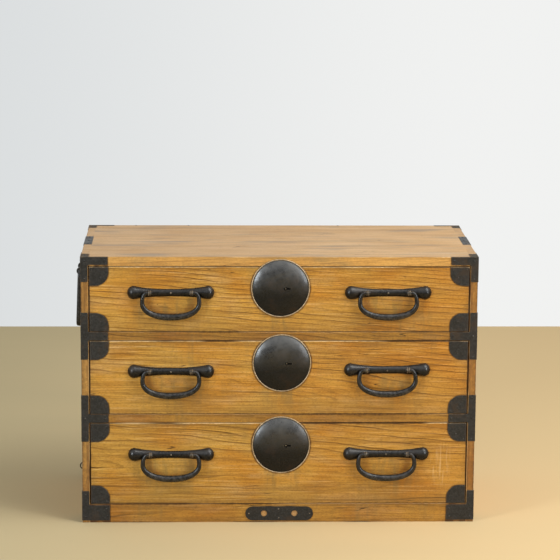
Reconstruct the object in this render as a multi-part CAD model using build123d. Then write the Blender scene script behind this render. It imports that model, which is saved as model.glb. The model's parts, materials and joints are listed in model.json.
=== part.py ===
"""Isho clothing chest: a low three-drawer tansu section with forged iron hardware.

Millimetres, +Z up, X to the right, and the drawer fronts face -Y.
The origin is the centre of the carcass footprint, on the floor.
"""

from build123d import *
import os
from math import cos, pi, sin

# Carcass boards
carcass_width = 900.0
carcass_depth = 440.0
side_thickness = 17.0
top_thickness = 21.5
opening_heights = {"bottom": 192.0, "middle": 172.0, "top": 151.5}
rail_height = 20.0
rail_depth = 40.0
base_rail_height = 44.0
base_rail_depth = 20.0
base_board_thickness = 18.0
dust_board_thickness = 10.0
rear_bearer_depth = 20.0
centre_bearer_width = 44.0

# Carcass joinery
corner_fingers = 9
housing_depth = 6.0
tenon_setback = 5.0
tenon_shoulder = 3.0
tongue_depth = 5.0
tongue_thickness = 4.0
back_thickness = 8.0
back_rebate_width = 10.0
back_rebate_height = 9.0
back_board_count = 3
back_board_gap = 0.4

# Drawer boxes
drawer_proud = 0.4
drawer_run_gap = 0.3
drawer_side_gap = 2.2
drawer_top_gap = 1.5
drawer_front_thickness = 20.0
drawer_lap = 8.0
drawer_side_thickness = 12.0
drawer_back_thickness = 12.0
drawer_bottom_thickness = 8.0
drawer_side_drop = 3.0
drawer_rear_space = 7.0
drawer_fingers = 5
stop_width = 30.0
stop_height = 14.0
stop_inset = 60.0
stop_gap = 0.3

# Iron plates on the carcass
iron_thickness = 1.2
corner_arm_length = 61.0
corner_arm_height = 18.5
corner_arm_width = 16.0
corner_drop = 58.0
corner_tab_width = 18.0
corner_tab_length = 40.0
foot_length = 63.0
foot_top = 41.0
foot_bottom = 5.0
foot_arm_top = 75.0
t_iron_length = 109.0
t_iron_arm_length = 61.0
t_iron_arm_height = 19.0
plate_corner_clip = 3.0
base_plate_length = 156.0
base_plate_height = 33.0
base_plate_thickness = 2.0
base_plate_centre = (2.0, 21.0)
base_plate_hole_radius = 7.2
base_plate_hole_spacing = 70.0
plug_radius = 7.0
plug_gap = 0.05
plug_facets = 20

# Quarter-round plates on the drawer corners
drawer_plate_size = 42.5
drawer_plate_radius = 29.0
drawer_plate_facets = 24
drawer_plate_inset = 0.8

# Locks
lock_drops = {"bottom": 52.0, "middle": 52.0, "top": 50.0}
lock_offsets = {"bottom": 5.0, "middle": 6.0, "top": 2.0}
lock_plate_radius = 66.8
lock_plate_thickness = 1.5
lock_dome_radius = 62.5
lock_dome_height = 11.0
lock_dome_fullness = 3.6
lock_dome_rings = (1.0, 0.9, 0.75, 0.5, 0.2)
lock_hollow_rings = (1.0, 0.5)
lock_facets = 48
keyhole_offset = 11.0
keyhole_radius = 3.5
keyhole_slot_length = 11.0
keyhole_slot_height = 3.2
keyhole_facets = 12
key_post_radius = 1.5
lock_case_width = 64.0
lock_case_height = 38.0
lock_case_depth = 13.5
lock_case_recess = 0.5
lock_case_wall = 2.0
bolt_width = 14.0
bolt_thickness = 5.0
bolt_recess = 4.0
bolt_foot_width = 34.0
bolt_foot_height = 6.2
bolt_foot_rise = 2.2
bolt_top_inset = 1.0
bolt_throw = 8.0
bolt_gap = 0.3
mortise_gap = 0.5
mortise_headroom = 1.0

# Drawer handles: a dumb-bell bar, two eyes and a bail
handle_offset = 246.5
handle_drops = {"bottom": (73.0, 72.0), "middle": (70.0, 66.5), "top": (58.9, 59.0)}
bar_half_length = 98.5
bar_bulb_position = 84.0
bar_bulb_radius = 15.2
bar_waist_radius = 9.6
bar_swell = 2.7
bar_bulb_turns = (pi / 12, pi / 5, pi / 3, pi / 2)
bar_swell_shares = (0.85, 0.68, 0.45, 0.0)
bar_axis_depth = 3.0
bar_axis_drop = 2.5
bar_facets = 16
eye_half_spacing = 47.5
eye_strip_width = 6.0
eye_strip_thickness = 2.2
eye_seat_gap = 0.1
eye_leg_length = 12.0
eye_facets = 12
shank_gap = 0.1
journal_radius = 3.5
journal_gap = 0.3
collar_radius = 4.8
collar_width = 2.2
collar_slope = 0.7
bail_tail = 3.0
bail_facets = 8
bail_half_width = 64.0
bail_shoulder_drop = 21.6
bail_bowl_depth = 34.2
bail_end_radius = 3.9
bail_grip_radius = 7.0
bail_swell = 1.3

# Carrying handles on the side boards
carry_plate_width = 112.0
carry_plate_drop = 91.0
carry_plate_lip = 18.0
carry_pivot_drop = 66.5
carry_eye_half_spacing = 33.0
carry_strip_width = 6.0
carry_strip_thickness = 4.0
carry_shank_depth = 14.0
carry_journal_radius = 4.5
carry_tail = 4.0
carry_half_width = 46.0
carry_shoulder_drop = 12.0
carry_corner_radius = 16.0
carry_length = 131.5
carry_leg_thickness = 11.0
carry_leg_width = 9.0
carry_grip_thickness = 20.0
carry_grip_width = 13.0
carry_edge_clip = 2.5

# Levels and faces that everything below is set from
half_width = carcass_width / 2
half_depth = carcass_depth / 2
inner_half = half_width - side_thickness
underside = base_rail_height - base_board_thickness
carcass_front = -half_depth
back_seat = half_depth - back_thickness
floors = {}
level = base_rail_height
for drawer_name, opening in opening_heights.items():
    floors[drawer_name] = level
    level += opening + rail_height
ceilings = {name: floors[name] + height for name, height in opening_heights.items()}
carcass_height = ceilings["top"] + top_thickness
drawer_face = carcass_front - drawer_proud
drawer_half = inner_half - drawer_side_gap
drawer_rear = back_seat - drawer_rear_space
lock_levels = {name: ceilings[name] - lock_drops[name] for name in ceilings}
bolt_front = drawer_face + bolt_recess
mortise_depth = bolt_throw + mortise_headroom
bar_swell_at_eye = (bar_bulb_radius - bar_waist_radius) * (eye_half_spacing / bar_bulb_position) ** bar_swell
bar_front_at_eye = bar_waist_radius + bar_swell_at_eye - bar_axis_depth
eye_inner_radius = journal_radius + journal_gap
eye_standoff = bar_front_at_eye + eye_seat_gap + eye_inner_radius + eye_strip_thickness
bail_pivot_y = drawer_face - eye_standoff
carry_eye_inner = carry_journal_radius + journal_gap
carry_pivot_x = half_width + iron_thickness + eye_seat_gap + carry_eye_inner + carry_strip_thickness
carry_pivot_z = carcass_height - carry_pivot_drop


def block(x_low, x_high, y_low, y_high, z_low, z_high):
    """A box between two corners."""
    centre = Pos((x_low + x_high) / 2, (y_low + y_high) / 2, (z_low + z_high) / 2)
    return centre * Box(x_high - x_low, y_high - y_low, z_high - z_low)


def rod(start, end, radius, facets):
    """A many-sided rod from one point to another."""
    axis = Vector(*end) - Vector(*start)
    return extrude(Plane(origin=start, z_dir=axis) * RegularPolygon(radius, facets), axis.length)


def clipped(width, height, clip):
    """A rectangle with clipped corners."""
    return chamfer(Rectangle(width, height).vertices(), clip)


def write(name, *shapes):
    """Write one node: a single solid, or a group of separate solids."""
    solids = [solid for shape in shapes for solid in shape.solids()]
    node = solids[0] if len(solids) == 1 else Compound(children=solids)
    node.label = name
    export_step(node, f"parts/{name}.step")


def both_sides(shape):
    """A left-hand shape and its right-hand mirror image."""
    return [shape, mirror(shape, about=Plane.YZ)]


def spans(low, high, count, first):
    """Every second finger between two levels, starting from the first or the second."""
    pitch = (high - low) / count
    return [(low + i * pitch, low + (i + 1) * pitch) for i in range(first, count, 2)]


# Carcass -------------------------------------------------------------------


def shelf(front, top, thickness):
    """A board housed in both sides, with a tongue along its front edge."""
    reach = inner_half + housing_depth
    middle = top - thickness / 2
    board = block(-reach, reach, front, back_seat, top - thickness, top)
    tongue_low = middle - tongue_thickness / 2
    tongue_high = middle + tongue_thickness / 2
    return board + block(-inner_half, inner_half, front - tongue_depth, front, tongue_low, tongue_high)


def rail(low, high, depth):
    """A rail between the side boards, with a blind tenon at each end."""
    rear = carcass_front + depth
    reach = inner_half + housing_depth
    body = block(-inner_half, inner_half, carcass_front, rear, low, high)
    tenons = block(
        -reach, reach,
        carcass_front + tenon_setback, rear - tenon_setback,
        low + tenon_shoulder, high - tenon_shoulder,
    )
    return body + tenons


def lock_mortise(name):
    """The pocket above a drawer that its lock bolt rises into."""
    reach = bolt_width / 2 + mortise_gap
    centre = lock_offsets[name]
    return block(
        centre - reach, centre + reach,
        bolt_front - mortise_gap, bolt_front + bolt_thickness + mortise_gap,
        ceilings[name], ceilings[name] + mortise_depth,
    )


def top_board(let_in):
    """The top, finger-jointed over the side boards, with the irons on it let in flush."""
    board = block(-half_width, half_width, -half_depth, half_depth, ceilings["top"], carcass_height)
    for low, high in spans(-half_depth, half_depth, corner_fingers, 1):
        for notch in both_sides(block(-half_width, -inner_half, low, high, ceilings["top"], carcass_height)):
            board -= notch
    rebate_reach = inner_half + back_rebate_width
    rebate_top = ceilings["top"] + back_rebate_height
    board -= block(-rebate_reach, rebate_reach, back_seat, half_depth, ceilings["top"], rebate_top)
    for iron in let_in:
        board -= iron
    return board - lock_mortise("top")


def left_side_board(held):
    """The left side, notched for the top's fingers and housed for what it holds."""
    board = block(-half_width, -inner_half, -half_depth, half_depth, 0, carcass_height)
    for low, high in spans(-half_depth, half_depth, corner_fingers, 0):
        board -= block(-half_width, -inner_half, low, high, ceilings["top"], carcass_height)
    rebate_outer = -inner_half - back_rebate_width
    board -= block(rebate_outer, -inner_half, back_seat, half_depth, underside, ceilings["top"])
    for shape in held:
        board -= shape
    for y in (-carry_eye_half_spacing, carry_eye_half_spacing):
        board -= carry_shank_hole(y)
    return board


def back_boards():
    """Level boards in the rebate at the back, one above the other."""
    top = ceilings["top"] + back_rebate_height
    reach = inner_half + back_rebate_width - back_board_gap
    height = (top - underside - back_board_gap * back_board_count) / back_board_count
    boards = []
    for i in range(back_board_count):
        low = underside + i * (height + back_board_gap)
        boards.append(block(-reach, reach, back_seat, half_depth, low, low + height))
    return boards


def base_bearers():
    """A bearer along the back and one from front to back, under the base board."""
    rear_front = half_depth - rear_bearer_depth
    half = centre_bearer_width / 2
    rear = block(-inner_half, inner_half, rear_front, half_depth, 0, underside)
    centre = block(-half, half, carcass_front + base_rail_depth, rear_front, 0, underside)
    return [rear, centre]


def drawer_stops():
    """Two blocks behind each drawer, glued to the board that it runs on."""
    stops = []
    for floor in floors.values():
        outer = -inner_half + stop_inset
        front = drawer_rear + stop_gap
        stops += both_sides(block(outer, outer + stop_width, front, back_seat, floor, floor + stop_height))
    return stops


# Iron on the carcass -------------------------------------------------------


def arm(width, height, level_z):
    """A strip centred on the fold, as wide and high on each side of it."""
    return Pos(0, level_z) * clipped(2 * width, 2 * height, plate_corner_clip)


def folded_plate(outline):
    """One flat outline folded round the front left corner, on the front and on the side.

    The outline's first direction runs inward from the corner and its second is the height.
    """
    past_fold = Pos(carcass_width / 2 - iron_thickness, 0) * Rectangle(carcass_width, 4 * carcass_height)
    past_corner = Pos(carcass_width / 2, 0) * Rectangle(carcass_width, 4 * carcass_height)
    front_plane = Plane(origin=(-half_width, carcass_front, 0), x_dir=(1, 0, 0), z_dir=(0, -1, 0))
    side_plane = Plane(origin=(-half_width - iron_thickness, carcass_front, 0), x_dir=(0, 1, 0), z_dir=(1, 0, 0))
    front = extrude(front_plane * (outline & past_fold), iron_thickness)
    side = extrude(side_plane * (outline & past_corner), iron_thickness)
    return front + side


def top_corner_iron():
    """A three-way iron: an L on the front and on the side, and a tab let into the top."""
    level_arm = arm(corner_arm_length, corner_arm_height, carcass_height)
    upright_arm = arm(corner_arm_width, corner_drop, carcass_height)
    below_top = Rectangle(4 * carcass_width, 2 * carcass_height)
    iron = folded_plate((level_arm + upright_arm) & below_top)
    tab_outline = clipped(2 * corner_tab_width, 2 * corner_tab_length, plate_corner_clip)
    tab = Pos(-half_width, carcass_front) * tab_outline
    footprint = Rectangle(carcass_width + 2 * iron_thickness, carcass_depth + 2 * iron_thickness)
    return iron + extrude(Pos(0, 0, carcass_height - iron_thickness) * (tab & footprint), iron_thickness)


def bottom_corner_iron():
    """A foot plate with a narrow arm rising from the corner."""
    foot_height = foot_top - foot_bottom
    foot_middle = (foot_top + foot_bottom) / 2
    arm_middle = (foot_arm_top + foot_bottom) / 2
    foot = Pos(0, foot_middle) * clipped(2 * foot_length, foot_height, plate_corner_clip)
    upright = Pos(0, arm_middle) * clipped(
        2 * corner_arm_width, foot_arm_top - foot_bottom, plate_corner_clip
    )
    return folded_plate(foot + upright)


def rail_t_iron(level_z):
    """A T over the end of a rail: a strip up the side board and an arm along the rail."""
    upright = arm(corner_arm_width, t_iron_length / 2, level_z)
    level_arm = arm(t_iron_arm_length, t_iron_arm_height / 2, level_z)
    return folded_plate(upright + level_arm)


def base_plate():
    """A long plate with round ends and two holes, on the base rail."""
    centre_x, centre_z = base_plate_centre
    end_x = (base_plate_length - base_plate_height) / 2
    outline = Rectangle(2 * end_x, base_plate_height)
    for x in (-end_x, end_x):
        outline += Pos(x, 0) * RegularPolygon(base_plate_height / 2, plug_facets)
    for x in (-base_plate_hole_spacing / 2, base_plate_hole_spacing / 2):
        outline -= Pos(x, 0) * RegularPolygon(base_plate_hole_radius, plug_facets)
    front_plane = Plane(origin=(centre_x, carcass_front, centre_z), x_dir=(1, 0, 0), z_dir=(0, -1, 0))
    return extrude(front_plane * outline, base_plate_thickness)


def base_plugs(radius):
    """Two wooden plugs through the base rail, behind the holes of its plate."""
    centre_x, centre_z = base_plate_centre
    plugs = []
    for x in (centre_x - base_plate_hole_spacing / 2, centre_x + base_plate_hole_spacing / 2):
        front = (x, carcass_front, centre_z)
        plugs.append(rod(front, (x, carcass_front + base_rail_depth, centre_z), radius, plug_facets))
    return plugs


# Bails, eyes and bars ------------------------------------------------------


def ring_and_shank(centre, shank, inner_radius, strip_thickness, strip_width):
    """An eye of flat strip: a ring whose two ends lie together as its shank.

    The shank is a vector from the ring's centre to its tip.
    """
    direction = Vector(*shank)
    plane = Plane(origin=centre, x_dir=direction, z_dir=direction.cross(Vector(0, 0, 1)))
    start = inner_radius + strip_thickness / 2
    outside = RegularPolygon(inner_radius + strip_thickness, eye_facets, major_radius=False)
    ring = outside - RegularPolygon(inner_radius, eye_facets, major_radius=False)
    ends = Pos((start + direction.length) / 2, 0) * Rectangle(direction.length - start, 2 * strip_thickness)
    return extrude(plane * (ring + ends), strip_width / 2, both=True)


def bend(centre, radii, turn_from, turn_to, count):
    """Stations round part of an ellipse in the XZ plane: each a place and its direction."""
    way = 1 if turn_to > turn_from else -1
    stations = []
    for i in range(count + 1):
        turn = turn_from + (turn_to - turn_from) * i / count
        place = (centre[0] + radii[0] * cos(turn), 0, centre[1] + radii[1] * sin(turn))
        direction = (-way * radii[0] * sin(turn), 0, way * radii[1] * cos(turn))
        stations.append((place, direction))
    return stations


def mirrored(stations):
    """A right-hand run of stations that ends in the middle, carried on into its mirror image."""
    left = [((-place[0], 0, place[2]), (way[0], 0, -way[2])) for place, way in stations[:-1]]
    return stations + left[::-1]


def lofted_bar(stations, sections):
    """A faceted bar through one section at each station."""
    faces = []
    for (place, direction), section in zip(stations, sections):
        faces.append(Plane(origin=place, x_dir=(0, 1, 0), z_dir=direction) * section)
    return loft(Sketch() + faces, ruled=True)


def journals(start_x, end_x, radius):
    """The two ends of a bail that turn in its eyes."""
    return [rod((side * start_x, 0, 0), (side * end_x, 0, 0), radius, eye_facets) for side in (-1, 1)]


def drawer_bail():
    """A bail that hangs in the XZ plane with its pivot axis along X through the origin.

    Outside each eye it has a collar. Each shoulder is a quarter ellipse from there outward and
    down, and the bowl below is half an ellipse. The stock swells from the collars to the grip.
    """
    collar_x = eye_half_spacing + eye_strip_width / 2 + journal_gap
    start_x = collar_x + collar_width + collar_slope
    shoulder_radii = (bail_half_width - start_x, bail_shoulder_drop)
    collar = [((x, 0, 0), (1, 0, 0)) for x in (collar_x, collar_x + collar_width)]
    shoulder = bend((start_x, -bail_shoulder_drop), shoulder_radii, pi / 2, 0, 3)
    bowl = bend((0, -bail_shoulder_drop), (bail_half_width, bail_bowl_depth), 0, -pi / 2, 5)
    stock = shoulder + bowl[1:]
    radii = [collar_radius, collar_radius]
    for i in range(len(stock)):
        share = (i / (len(stock) - 1)) ** bail_swell
        radii.append(bail_end_radius + (bail_grip_radius - bail_end_radius) * share)
    radii += radii[-2::-1]
    sections = [RegularPolygon(radius, bail_facets) for radius in radii]
    bail = lofted_bar(mirrored(collar + stock), sections)
    tip_x = eye_half_spacing - eye_strip_width / 2 - bail_tail
    for journal in journals(tip_x, collar_x, journal_radius):
        bail += journal
    return bail


def carry_handle():
    """A long handle that hangs in the XZ plane with its pivot axis along X through the origin.

    Each half is a shoulder, a straight leg, a round corner and half of the straight grip.
    """
    start_x = carry_eye_half_spacing + carry_strip_width / 2 + journal_gap
    grip_z = -carry_length + carry_grip_width / 2
    corner_x = carry_half_width - carry_corner_radius
    corner_z = grip_z + carry_corner_radius
    shoulder_radii = (carry_half_width - start_x, carry_shoulder_drop)
    shoulder = bend((start_x, -carry_shoulder_drop), shoulder_radii, pi / 2, 0, 3)
    corner = bend((corner_x, corner_z), (carry_corner_radius, carry_corner_radius), 0, -pi / 2, 4)
    stations = mirrored(shoulder + corner + [((0, 0, grip_z), (-1, 0, 0))])
    sections = []
    for place, _ in stations:
        share = place[2] / grip_z
        thickness = carry_leg_thickness + (carry_grip_thickness - carry_leg_thickness) * share
        width = carry_leg_width + (carry_grip_width - carry_leg_width) * share
        sections.append(clipped(thickness, width, carry_edge_clip))
    handle = lofted_bar(stations, sections)
    tip_x = carry_eye_half_spacing - carry_strip_width / 2 - carry_tail
    for journal in journals(tip_x, start_x, carry_journal_radius):
        handle += journal
    return handle


def carry_shank_hole(y):
    """The hole that the shank of a carrying-handle eye is driven into."""
    half_width_y = carry_strip_width / 2 + shank_gap
    half_height = carry_strip_thickness + shank_gap
    return block(
        -carry_pivot_x, -half_width + carry_shank_depth + shank_gap,
        y - half_width_y, y + half_width_y,
        carry_pivot_z - half_height, carry_pivot_z + half_height,
    )


def carry_eyes():
    """The two eyes on the left side board."""
    shank = (carry_pivot_x - half_width + carry_shank_depth, 0, 0)
    eyes = []
    for y in (-carry_eye_half_spacing, carry_eye_half_spacing):
        centre = (-carry_pivot_x, y, carry_pivot_z)
        eyes.append(ring_and_shank(centre, shank, carry_eye_inner, carry_strip_thickness, carry_strip_width))
    return eyes


def carry_plate():
    """The plate behind the left carrying handle, with a lip folded over and let into the top."""
    on_side = Plane(origin=(-half_width - iron_thickness, 0, carcass_height), x_dir=(0, 1, 0), z_dir=(1, 0, 0))
    below_top = Pos(0, -carcass_height) * Rectangle(2 * carcass_depth, 2 * carcass_height)
    face = clipped(carry_plate_width, 2 * carry_plate_drop, plate_corner_clip) & below_top
    plate = extrude(on_side * face, iron_thickness)
    inward = Pos(half_width, 0) * Rectangle(carcass_width, carcass_depth)
    lip = clipped(2 * carry_plate_lip, carry_plate_width, plate_corner_clip) & inward
    plate += extrude(Pos(-half_width, 0, carcass_height - iron_thickness) * lip, iron_thickness)
    for y in (-carry_eye_half_spacing, carry_eye_half_spacing):
        plate -= carry_shank_hole(y)
    return plate


def handle_bar():
    """A dumb-bell bar along X on the plane y = 0, swelling to a round bulb at each end."""
    end_length = bar_half_length - bar_bulb_position
    half = []
    for turn in bar_bulb_turns:
        half.append((bar_bulb_position + end_length * cos(turn), bar_bulb_radius * sin(turn)))
    for share in bar_swell_shares:
        radius = bar_waist_radius + (bar_bulb_radius - bar_waist_radius) * share ** bar_swell
        half.append((bar_bulb_position * share, radius))
    stations = mirrored([((x, 0, 0), (-1, 0, 0)) for x, _ in half])
    radii = [radius for _, radius in half]
    radii += radii[-2::-1]
    bar = lofted_bar(stations, [RegularPolygon(radius, bar_facets) for radius in radii])
    reach = 2 * bar_half_length
    front_half = block(-reach, reach, -reach, 0, -reach, reach)
    return (Pos(0, bar_axis_depth, 0) * bar) & front_half


# Drawers -------------------------------------------------------------------


def handle_places(name):
    """The centres of a drawer's left and right handles."""
    left_drop, right_drop = handle_drops[name]
    return [(-handle_offset, ceilings[name] - left_drop), (handle_offset, ceilings[name] - right_drop)]


def shank_places(name):
    """Where the eye shanks pass through a drawer front."""
    places = []
    for x, z in handle_places(name):
        places += [(x - eye_half_spacing, z), (x + eye_half_spacing, z)]
    return places


def drawer_shank_hole(x, z):
    """The hole for an eye's shank, through the bar and the drawer front."""
    half_width_x = eye_strip_width / 2 + shank_gap
    half_height = eye_strip_thickness + shank_gap
    back = drawer_face + drawer_front_thickness
    return block(x - half_width_x, x + half_width_x, bail_pivot_y, back, z - half_height, z + half_height)


def drawer_eyes(name):
    """Four eyes, each with its two ends clenched up and down inside the front."""
    inside = drawer_face + drawer_front_thickness
    half = eye_strip_width / 2
    eyes = []
    for x, z in shank_places(name):
        centre = (x, bail_pivot_y, z)
        shank = (0, inside + eye_strip_thickness - bail_pivot_y, 0)
        eye = ring_and_shank(centre, shank, eye_inner_radius, eye_strip_thickness, eye_strip_width)
        ends = block(
            x - half, x + half,
            inside, inside + eye_strip_thickness,
            z - eye_leg_length, z + eye_leg_length,
        )
        eyes.append(eye + ends)
    return eyes


def lock_case_block(name, front):
    """The outside of a lock case, from a given front plane to its back."""
    x = lock_offsets[name]
    z = lock_levels[name]
    back = drawer_face + lock_case_recess + lock_case_depth
    half = lock_case_width / 2
    return block(x - half, x + half, front, back, z - lock_case_height / 2, z + lock_case_height / 2)


def keyhole(name, front, back):
    """A pin keyhole with its slot running to the right, cut from one plane to another."""
    x = lock_offsets[name] + keyhole_offset
    z = lock_levels[name]
    half = keyhole_slot_height / 2
    slot = block(x, x + keyhole_slot_length, front, back, z - half, z + half)
    return rod((x, front, z), (x, back, z), keyhole_radius, keyhole_facets) + slot


def lock_case(name):
    """A box round the foot of the bolt, with the key post standing in its keyhole."""
    x = lock_offsets[name]
    z = lock_levels[name]
    front = drawer_face + lock_case_recess
    back = front + lock_case_depth
    wall = lock_case_wall
    half_w = lock_case_width / 2 - wall
    half_h = lock_case_height / 2 - wall
    case = lock_case_block(name, front)
    case -= block(x - half_w, x + half_w, front + wall, back - wall, z - half_h, z + half_h)
    slot_half = bolt_width / 2 + bolt_gap
    case -= block(
        x - slot_half, x + slot_half,
        bolt_front - bolt_gap, bolt_front + bolt_thickness + bolt_gap,
        z, z + lock_case_height,
    )
    case -= keyhole(name, front - wall, front + wall)
    post_x = x + keyhole_offset
    post_tip = drawer_face - lock_dome_height / 2
    return case + rod((post_x, post_tip, z), (post_x, back - wall, z), key_post_radius, keyhole_facets)


def lock_bolt(name):
    """A T-shaped bolt: the key lifts its foot and its tongue rises out of the drawer front."""
    x = lock_offsets[name]
    low = lock_levels[name] + bolt_foot_rise
    top = ceilings[name] - drawer_top_gap - bolt_top_inset
    back = bolt_front + bolt_thickness
    tongue = block(x - bolt_width / 2, x + bolt_width / 2, bolt_front, back, low, top)
    half = bolt_foot_width / 2
    return tongue + block(x - half, x + half, bolt_front, back, low, low + bolt_foot_height)


def domed(radius, height, rings):
    """A low dome on the XY plane, through rings at shares of its radius."""
    faces = []
    for share in rings:
        level = height * (1 - share ** lock_dome_fullness)
        faces.append(Pos(0, 0, level) * RegularPolygon(radius * share, lock_facets))
    return loft(Sketch() + faces, ruled=True)


def lock_plate(name):
    """A domed iron disc with a flat rim, hollow behind, with the keyhole cut through it."""
    t = lock_plate_thickness
    disc = extrude(RegularPolygon(lock_plate_radius, lock_facets), t)
    disc += Pos(0, 0, t) * domed(lock_dome_radius, lock_dome_height - t, lock_dome_rings)
    disc -= domed(lock_dome_radius - t, lock_dome_height - t, lock_hollow_rings)
    centre = (lock_offsets[name], drawer_face, lock_levels[name])
    placed = Plane(origin=centre, x_dir=(1, 0, 0), z_dir=(0, -1, 0)) * disc
    return placed - keyhole(name, drawer_face - 2 * lock_dome_height, drawer_face + t)


def drawer_plates(name):
    """Four quarter-round plates on the corners of a drawer front."""
    low = floors[name] + drawer_run_gap + drawer_plate_inset
    high = ceilings[name] - drawer_top_gap - drawer_plate_inset
    size = drawer_plate_size
    arm_height = size - drawer_plate_radius
    outline = Pos(arm_height, arm_height) * RegularPolygon(drawer_plate_radius, drawer_plate_facets)
    outline += Pos(size / 2, arm_height / 2) * Rectangle(size, arm_height)
    outline += Pos(arm_height / 2, size / 2) * Rectangle(arm_height, size)
    outline &= Pos(size / 2, size / 2) * Rectangle(size, size)
    left = -drawer_half + drawer_plate_inset
    front_plane = Plane(origin=(left, drawer_face, low), x_dir=(1, 0, 0), z_dir=(0, -1, 0))
    lower = extrude(front_plane * outline, iron_thickness)
    upper = mirror(lower, about=Plane(origin=(0, 0, (low + high) / 2), z_dir=(0, 0, 1)))
    return both_sides(lower) + both_sides(upper)


def drawer_boards(name):
    """The five boards of a drawer box: front, two sides, back and bottom."""
    low = floors[name] + drawer_run_gap
    high = ceilings[name] - drawer_top_gap
    inside = drawer_face + drawer_front_thickness
    lap = drawer_face + drawer_lap
    floor = low + drawer_bottom_thickness
    side_top = high - drawer_side_drop
    side_inner = drawer_half - drawer_side_thickness
    back_front = drawer_rear - drawer_back_thickness
    bottom = block(-drawer_half, drawer_half, lap, drawer_rear, low, floor)
    side = block(-drawer_half, -side_inner, lap, drawer_rear, floor, side_top)
    back = block(-drawer_half, drawer_half, back_front, drawer_rear, floor, side_top)
    for finger_low, finger_high in spans(floor, side_top, drawer_fingers, 0):
        side -= block(-drawer_half, -side_inner, back_front, drawer_rear, finger_low, finger_high)
    for finger_low, finger_high in spans(floor, side_top, drawer_fingers, 1):
        for notch in both_sides(
            block(-drawer_half, -side_inner, back_front, drawer_rear, finger_low, finger_high)
        ):
            back -= notch
    sides = both_sides(side)
    front = block(-drawer_half, drawer_half, drawer_face, inside, low, high)
    front -= bottom
    for board in sides:
        front -= board
    front -= lock_case_block(name, drawer_face)
    groove_half = bolt_width / 2 + bolt_gap
    x = lock_offsets[name]
    front -= block(
        x - groove_half, x + groove_half,
        drawer_face, bolt_front + bolt_thickness + bolt_gap,
        lock_levels[name], high,
    )
    for place in shank_places(name):
        front -= drawer_shank_hole(*place)
    return front, sides, back, bottom


def handle_bars(name):
    """The left and right bars, drilled for the eye shanks."""
    bars = []
    for x, z in handle_places(name):
        bar = Pos(x, drawer_face, z - bar_axis_drop) * handle_bar()
        for side in (-1, 1):
            bar -= drawer_shank_hole(x + side * eye_half_spacing, z)
        bars.append(bar)
    return bars


# Build ---------------------------------------------------------------------

os.makedirs("parts", exist_ok=True)

base_board = shelf(carcass_front + base_rail_depth, base_rail_height, base_board_thickness)
lower_dust_board = shelf(carcass_front + rail_depth, floors["middle"], dust_board_thickness)
upper_dust_board = shelf(carcass_front + rail_depth, floors["top"], dust_board_thickness)
base_rail = rail(0, base_rail_height, base_rail_depth) - base_board
for plug in base_plugs(plug_radius + plug_gap):
    base_rail -= plug
lower_rail = rail(ceilings["bottom"], floors["middle"], rail_depth) - lower_dust_board - lock_mortise("bottom")
upper_rail = rail(ceilings["middle"], floors["top"], rail_depth) - upper_dust_board - lock_mortise("middle")
front_top_iron = top_corner_iron()
rear_top_iron = mirror(front_top_iron, about=Plane.XZ)
left_carry_plate = carry_plate()
held = [base_board, lower_dust_board, upper_dust_board, base_rail, lower_rail, upper_rail, left_carry_plate]
left_side = left_side_board(held)
let_in = both_sides(front_top_iron) + both_sides(rear_top_iron) + both_sides(left_carry_plate)

write("top_board", top_board(let_in))
write("left_side_board", left_side)
write("right_side_board", mirror(left_side, about=Plane.YZ))
write("base_board", base_board)
write("base_rail", base_rail)
write("base_bearers", *base_bearers())
write("lower_rail", lower_rail)
write("upper_rail", upper_rail)
write("dust_boards", lower_dust_board, upper_dust_board)
write("back_boards", *back_boards())
write("drawer_stops", *drawer_stops())

front_foot_iron = bottom_corner_iron()
rear_foot_iron = mirror(front_foot_iron, about=Plane.XZ)
lower_t_iron = rail_t_iron((ceilings["bottom"] + floors["middle"]) / 2)
upper_t_iron = rail_t_iron((ceilings["middle"] + floors["top"]) / 2)
write("top_corner_irons", *both_sides(front_top_iron))
write("bottom_corner_irons", *both_sides(front_foot_iron))
write("rear_corner_irons", *both_sides(rear_top_iron), *both_sides(rear_foot_iron))
write("rail_t_irons", *both_sides(lower_t_iron), *both_sides(upper_t_iron))
write("base_plate", base_plate())
write("base_plugs", *base_plugs(plug_radius))
write("carry_handle_plates", *both_sides(left_carry_plate))
left_eyes = carry_eyes()
write("carry_handle_eyes", *left_eyes, *[mirror(eye, about=Plane.YZ) for eye in left_eyes])

left_handle = Pos(-carry_pivot_x, 0, carry_pivot_z) * Rot(0, 0, 90) * carry_handle()
write("left_carry_handle", left_handle)
write("right_carry_handle", mirror(left_handle, about=Plane.YZ))

bail = drawer_bail()
for drawer_name in opening_heights:
    front_board, side_boards, back_board, bottom_board = drawer_boards(drawer_name)
    write(f"{drawer_name}_drawer_front", front_board)
    write(f"{drawer_name}_drawer_sides", *side_boards)
    write(f"{drawer_name}_drawer_back", back_board)
    write(f"{drawer_name}_drawer_bottom", bottom_board)
    write(f"{drawer_name}_drawer_corner_plates", *drawer_plates(drawer_name))
    write(f"{drawer_name}_lock_plate", lock_plate(drawer_name))
    write(f"{drawer_name}_lock_case", lock_case(drawer_name))
    write(f"{drawer_name}_lock_bolt", lock_bolt(drawer_name))
    write(f"{drawer_name}_handle_bars", *handle_bars(drawer_name))
    write(f"{drawer_name}_handle_eyes", *drawer_eyes(drawer_name))
    for hand, (bail_x, bail_z) in zip(("left", "right"), handle_places(drawer_name)):
        write(f"{drawer_name}_{hand}_bail", Pos(bail_x, bail_pivot_y, bail_z) * bail)
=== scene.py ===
"""Looks of a low three-drawer clothing chest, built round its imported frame.

Everything is in metres in the part's own frame: +Z up, X to the right and the
drawer fronts facing -Y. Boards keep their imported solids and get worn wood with
eased arrises. The ironwork is forged anew as smooth surfaces on the same places.
"""

import json
import logging
import math
from dataclasses import dataclass, field
from enum import Enum

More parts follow.
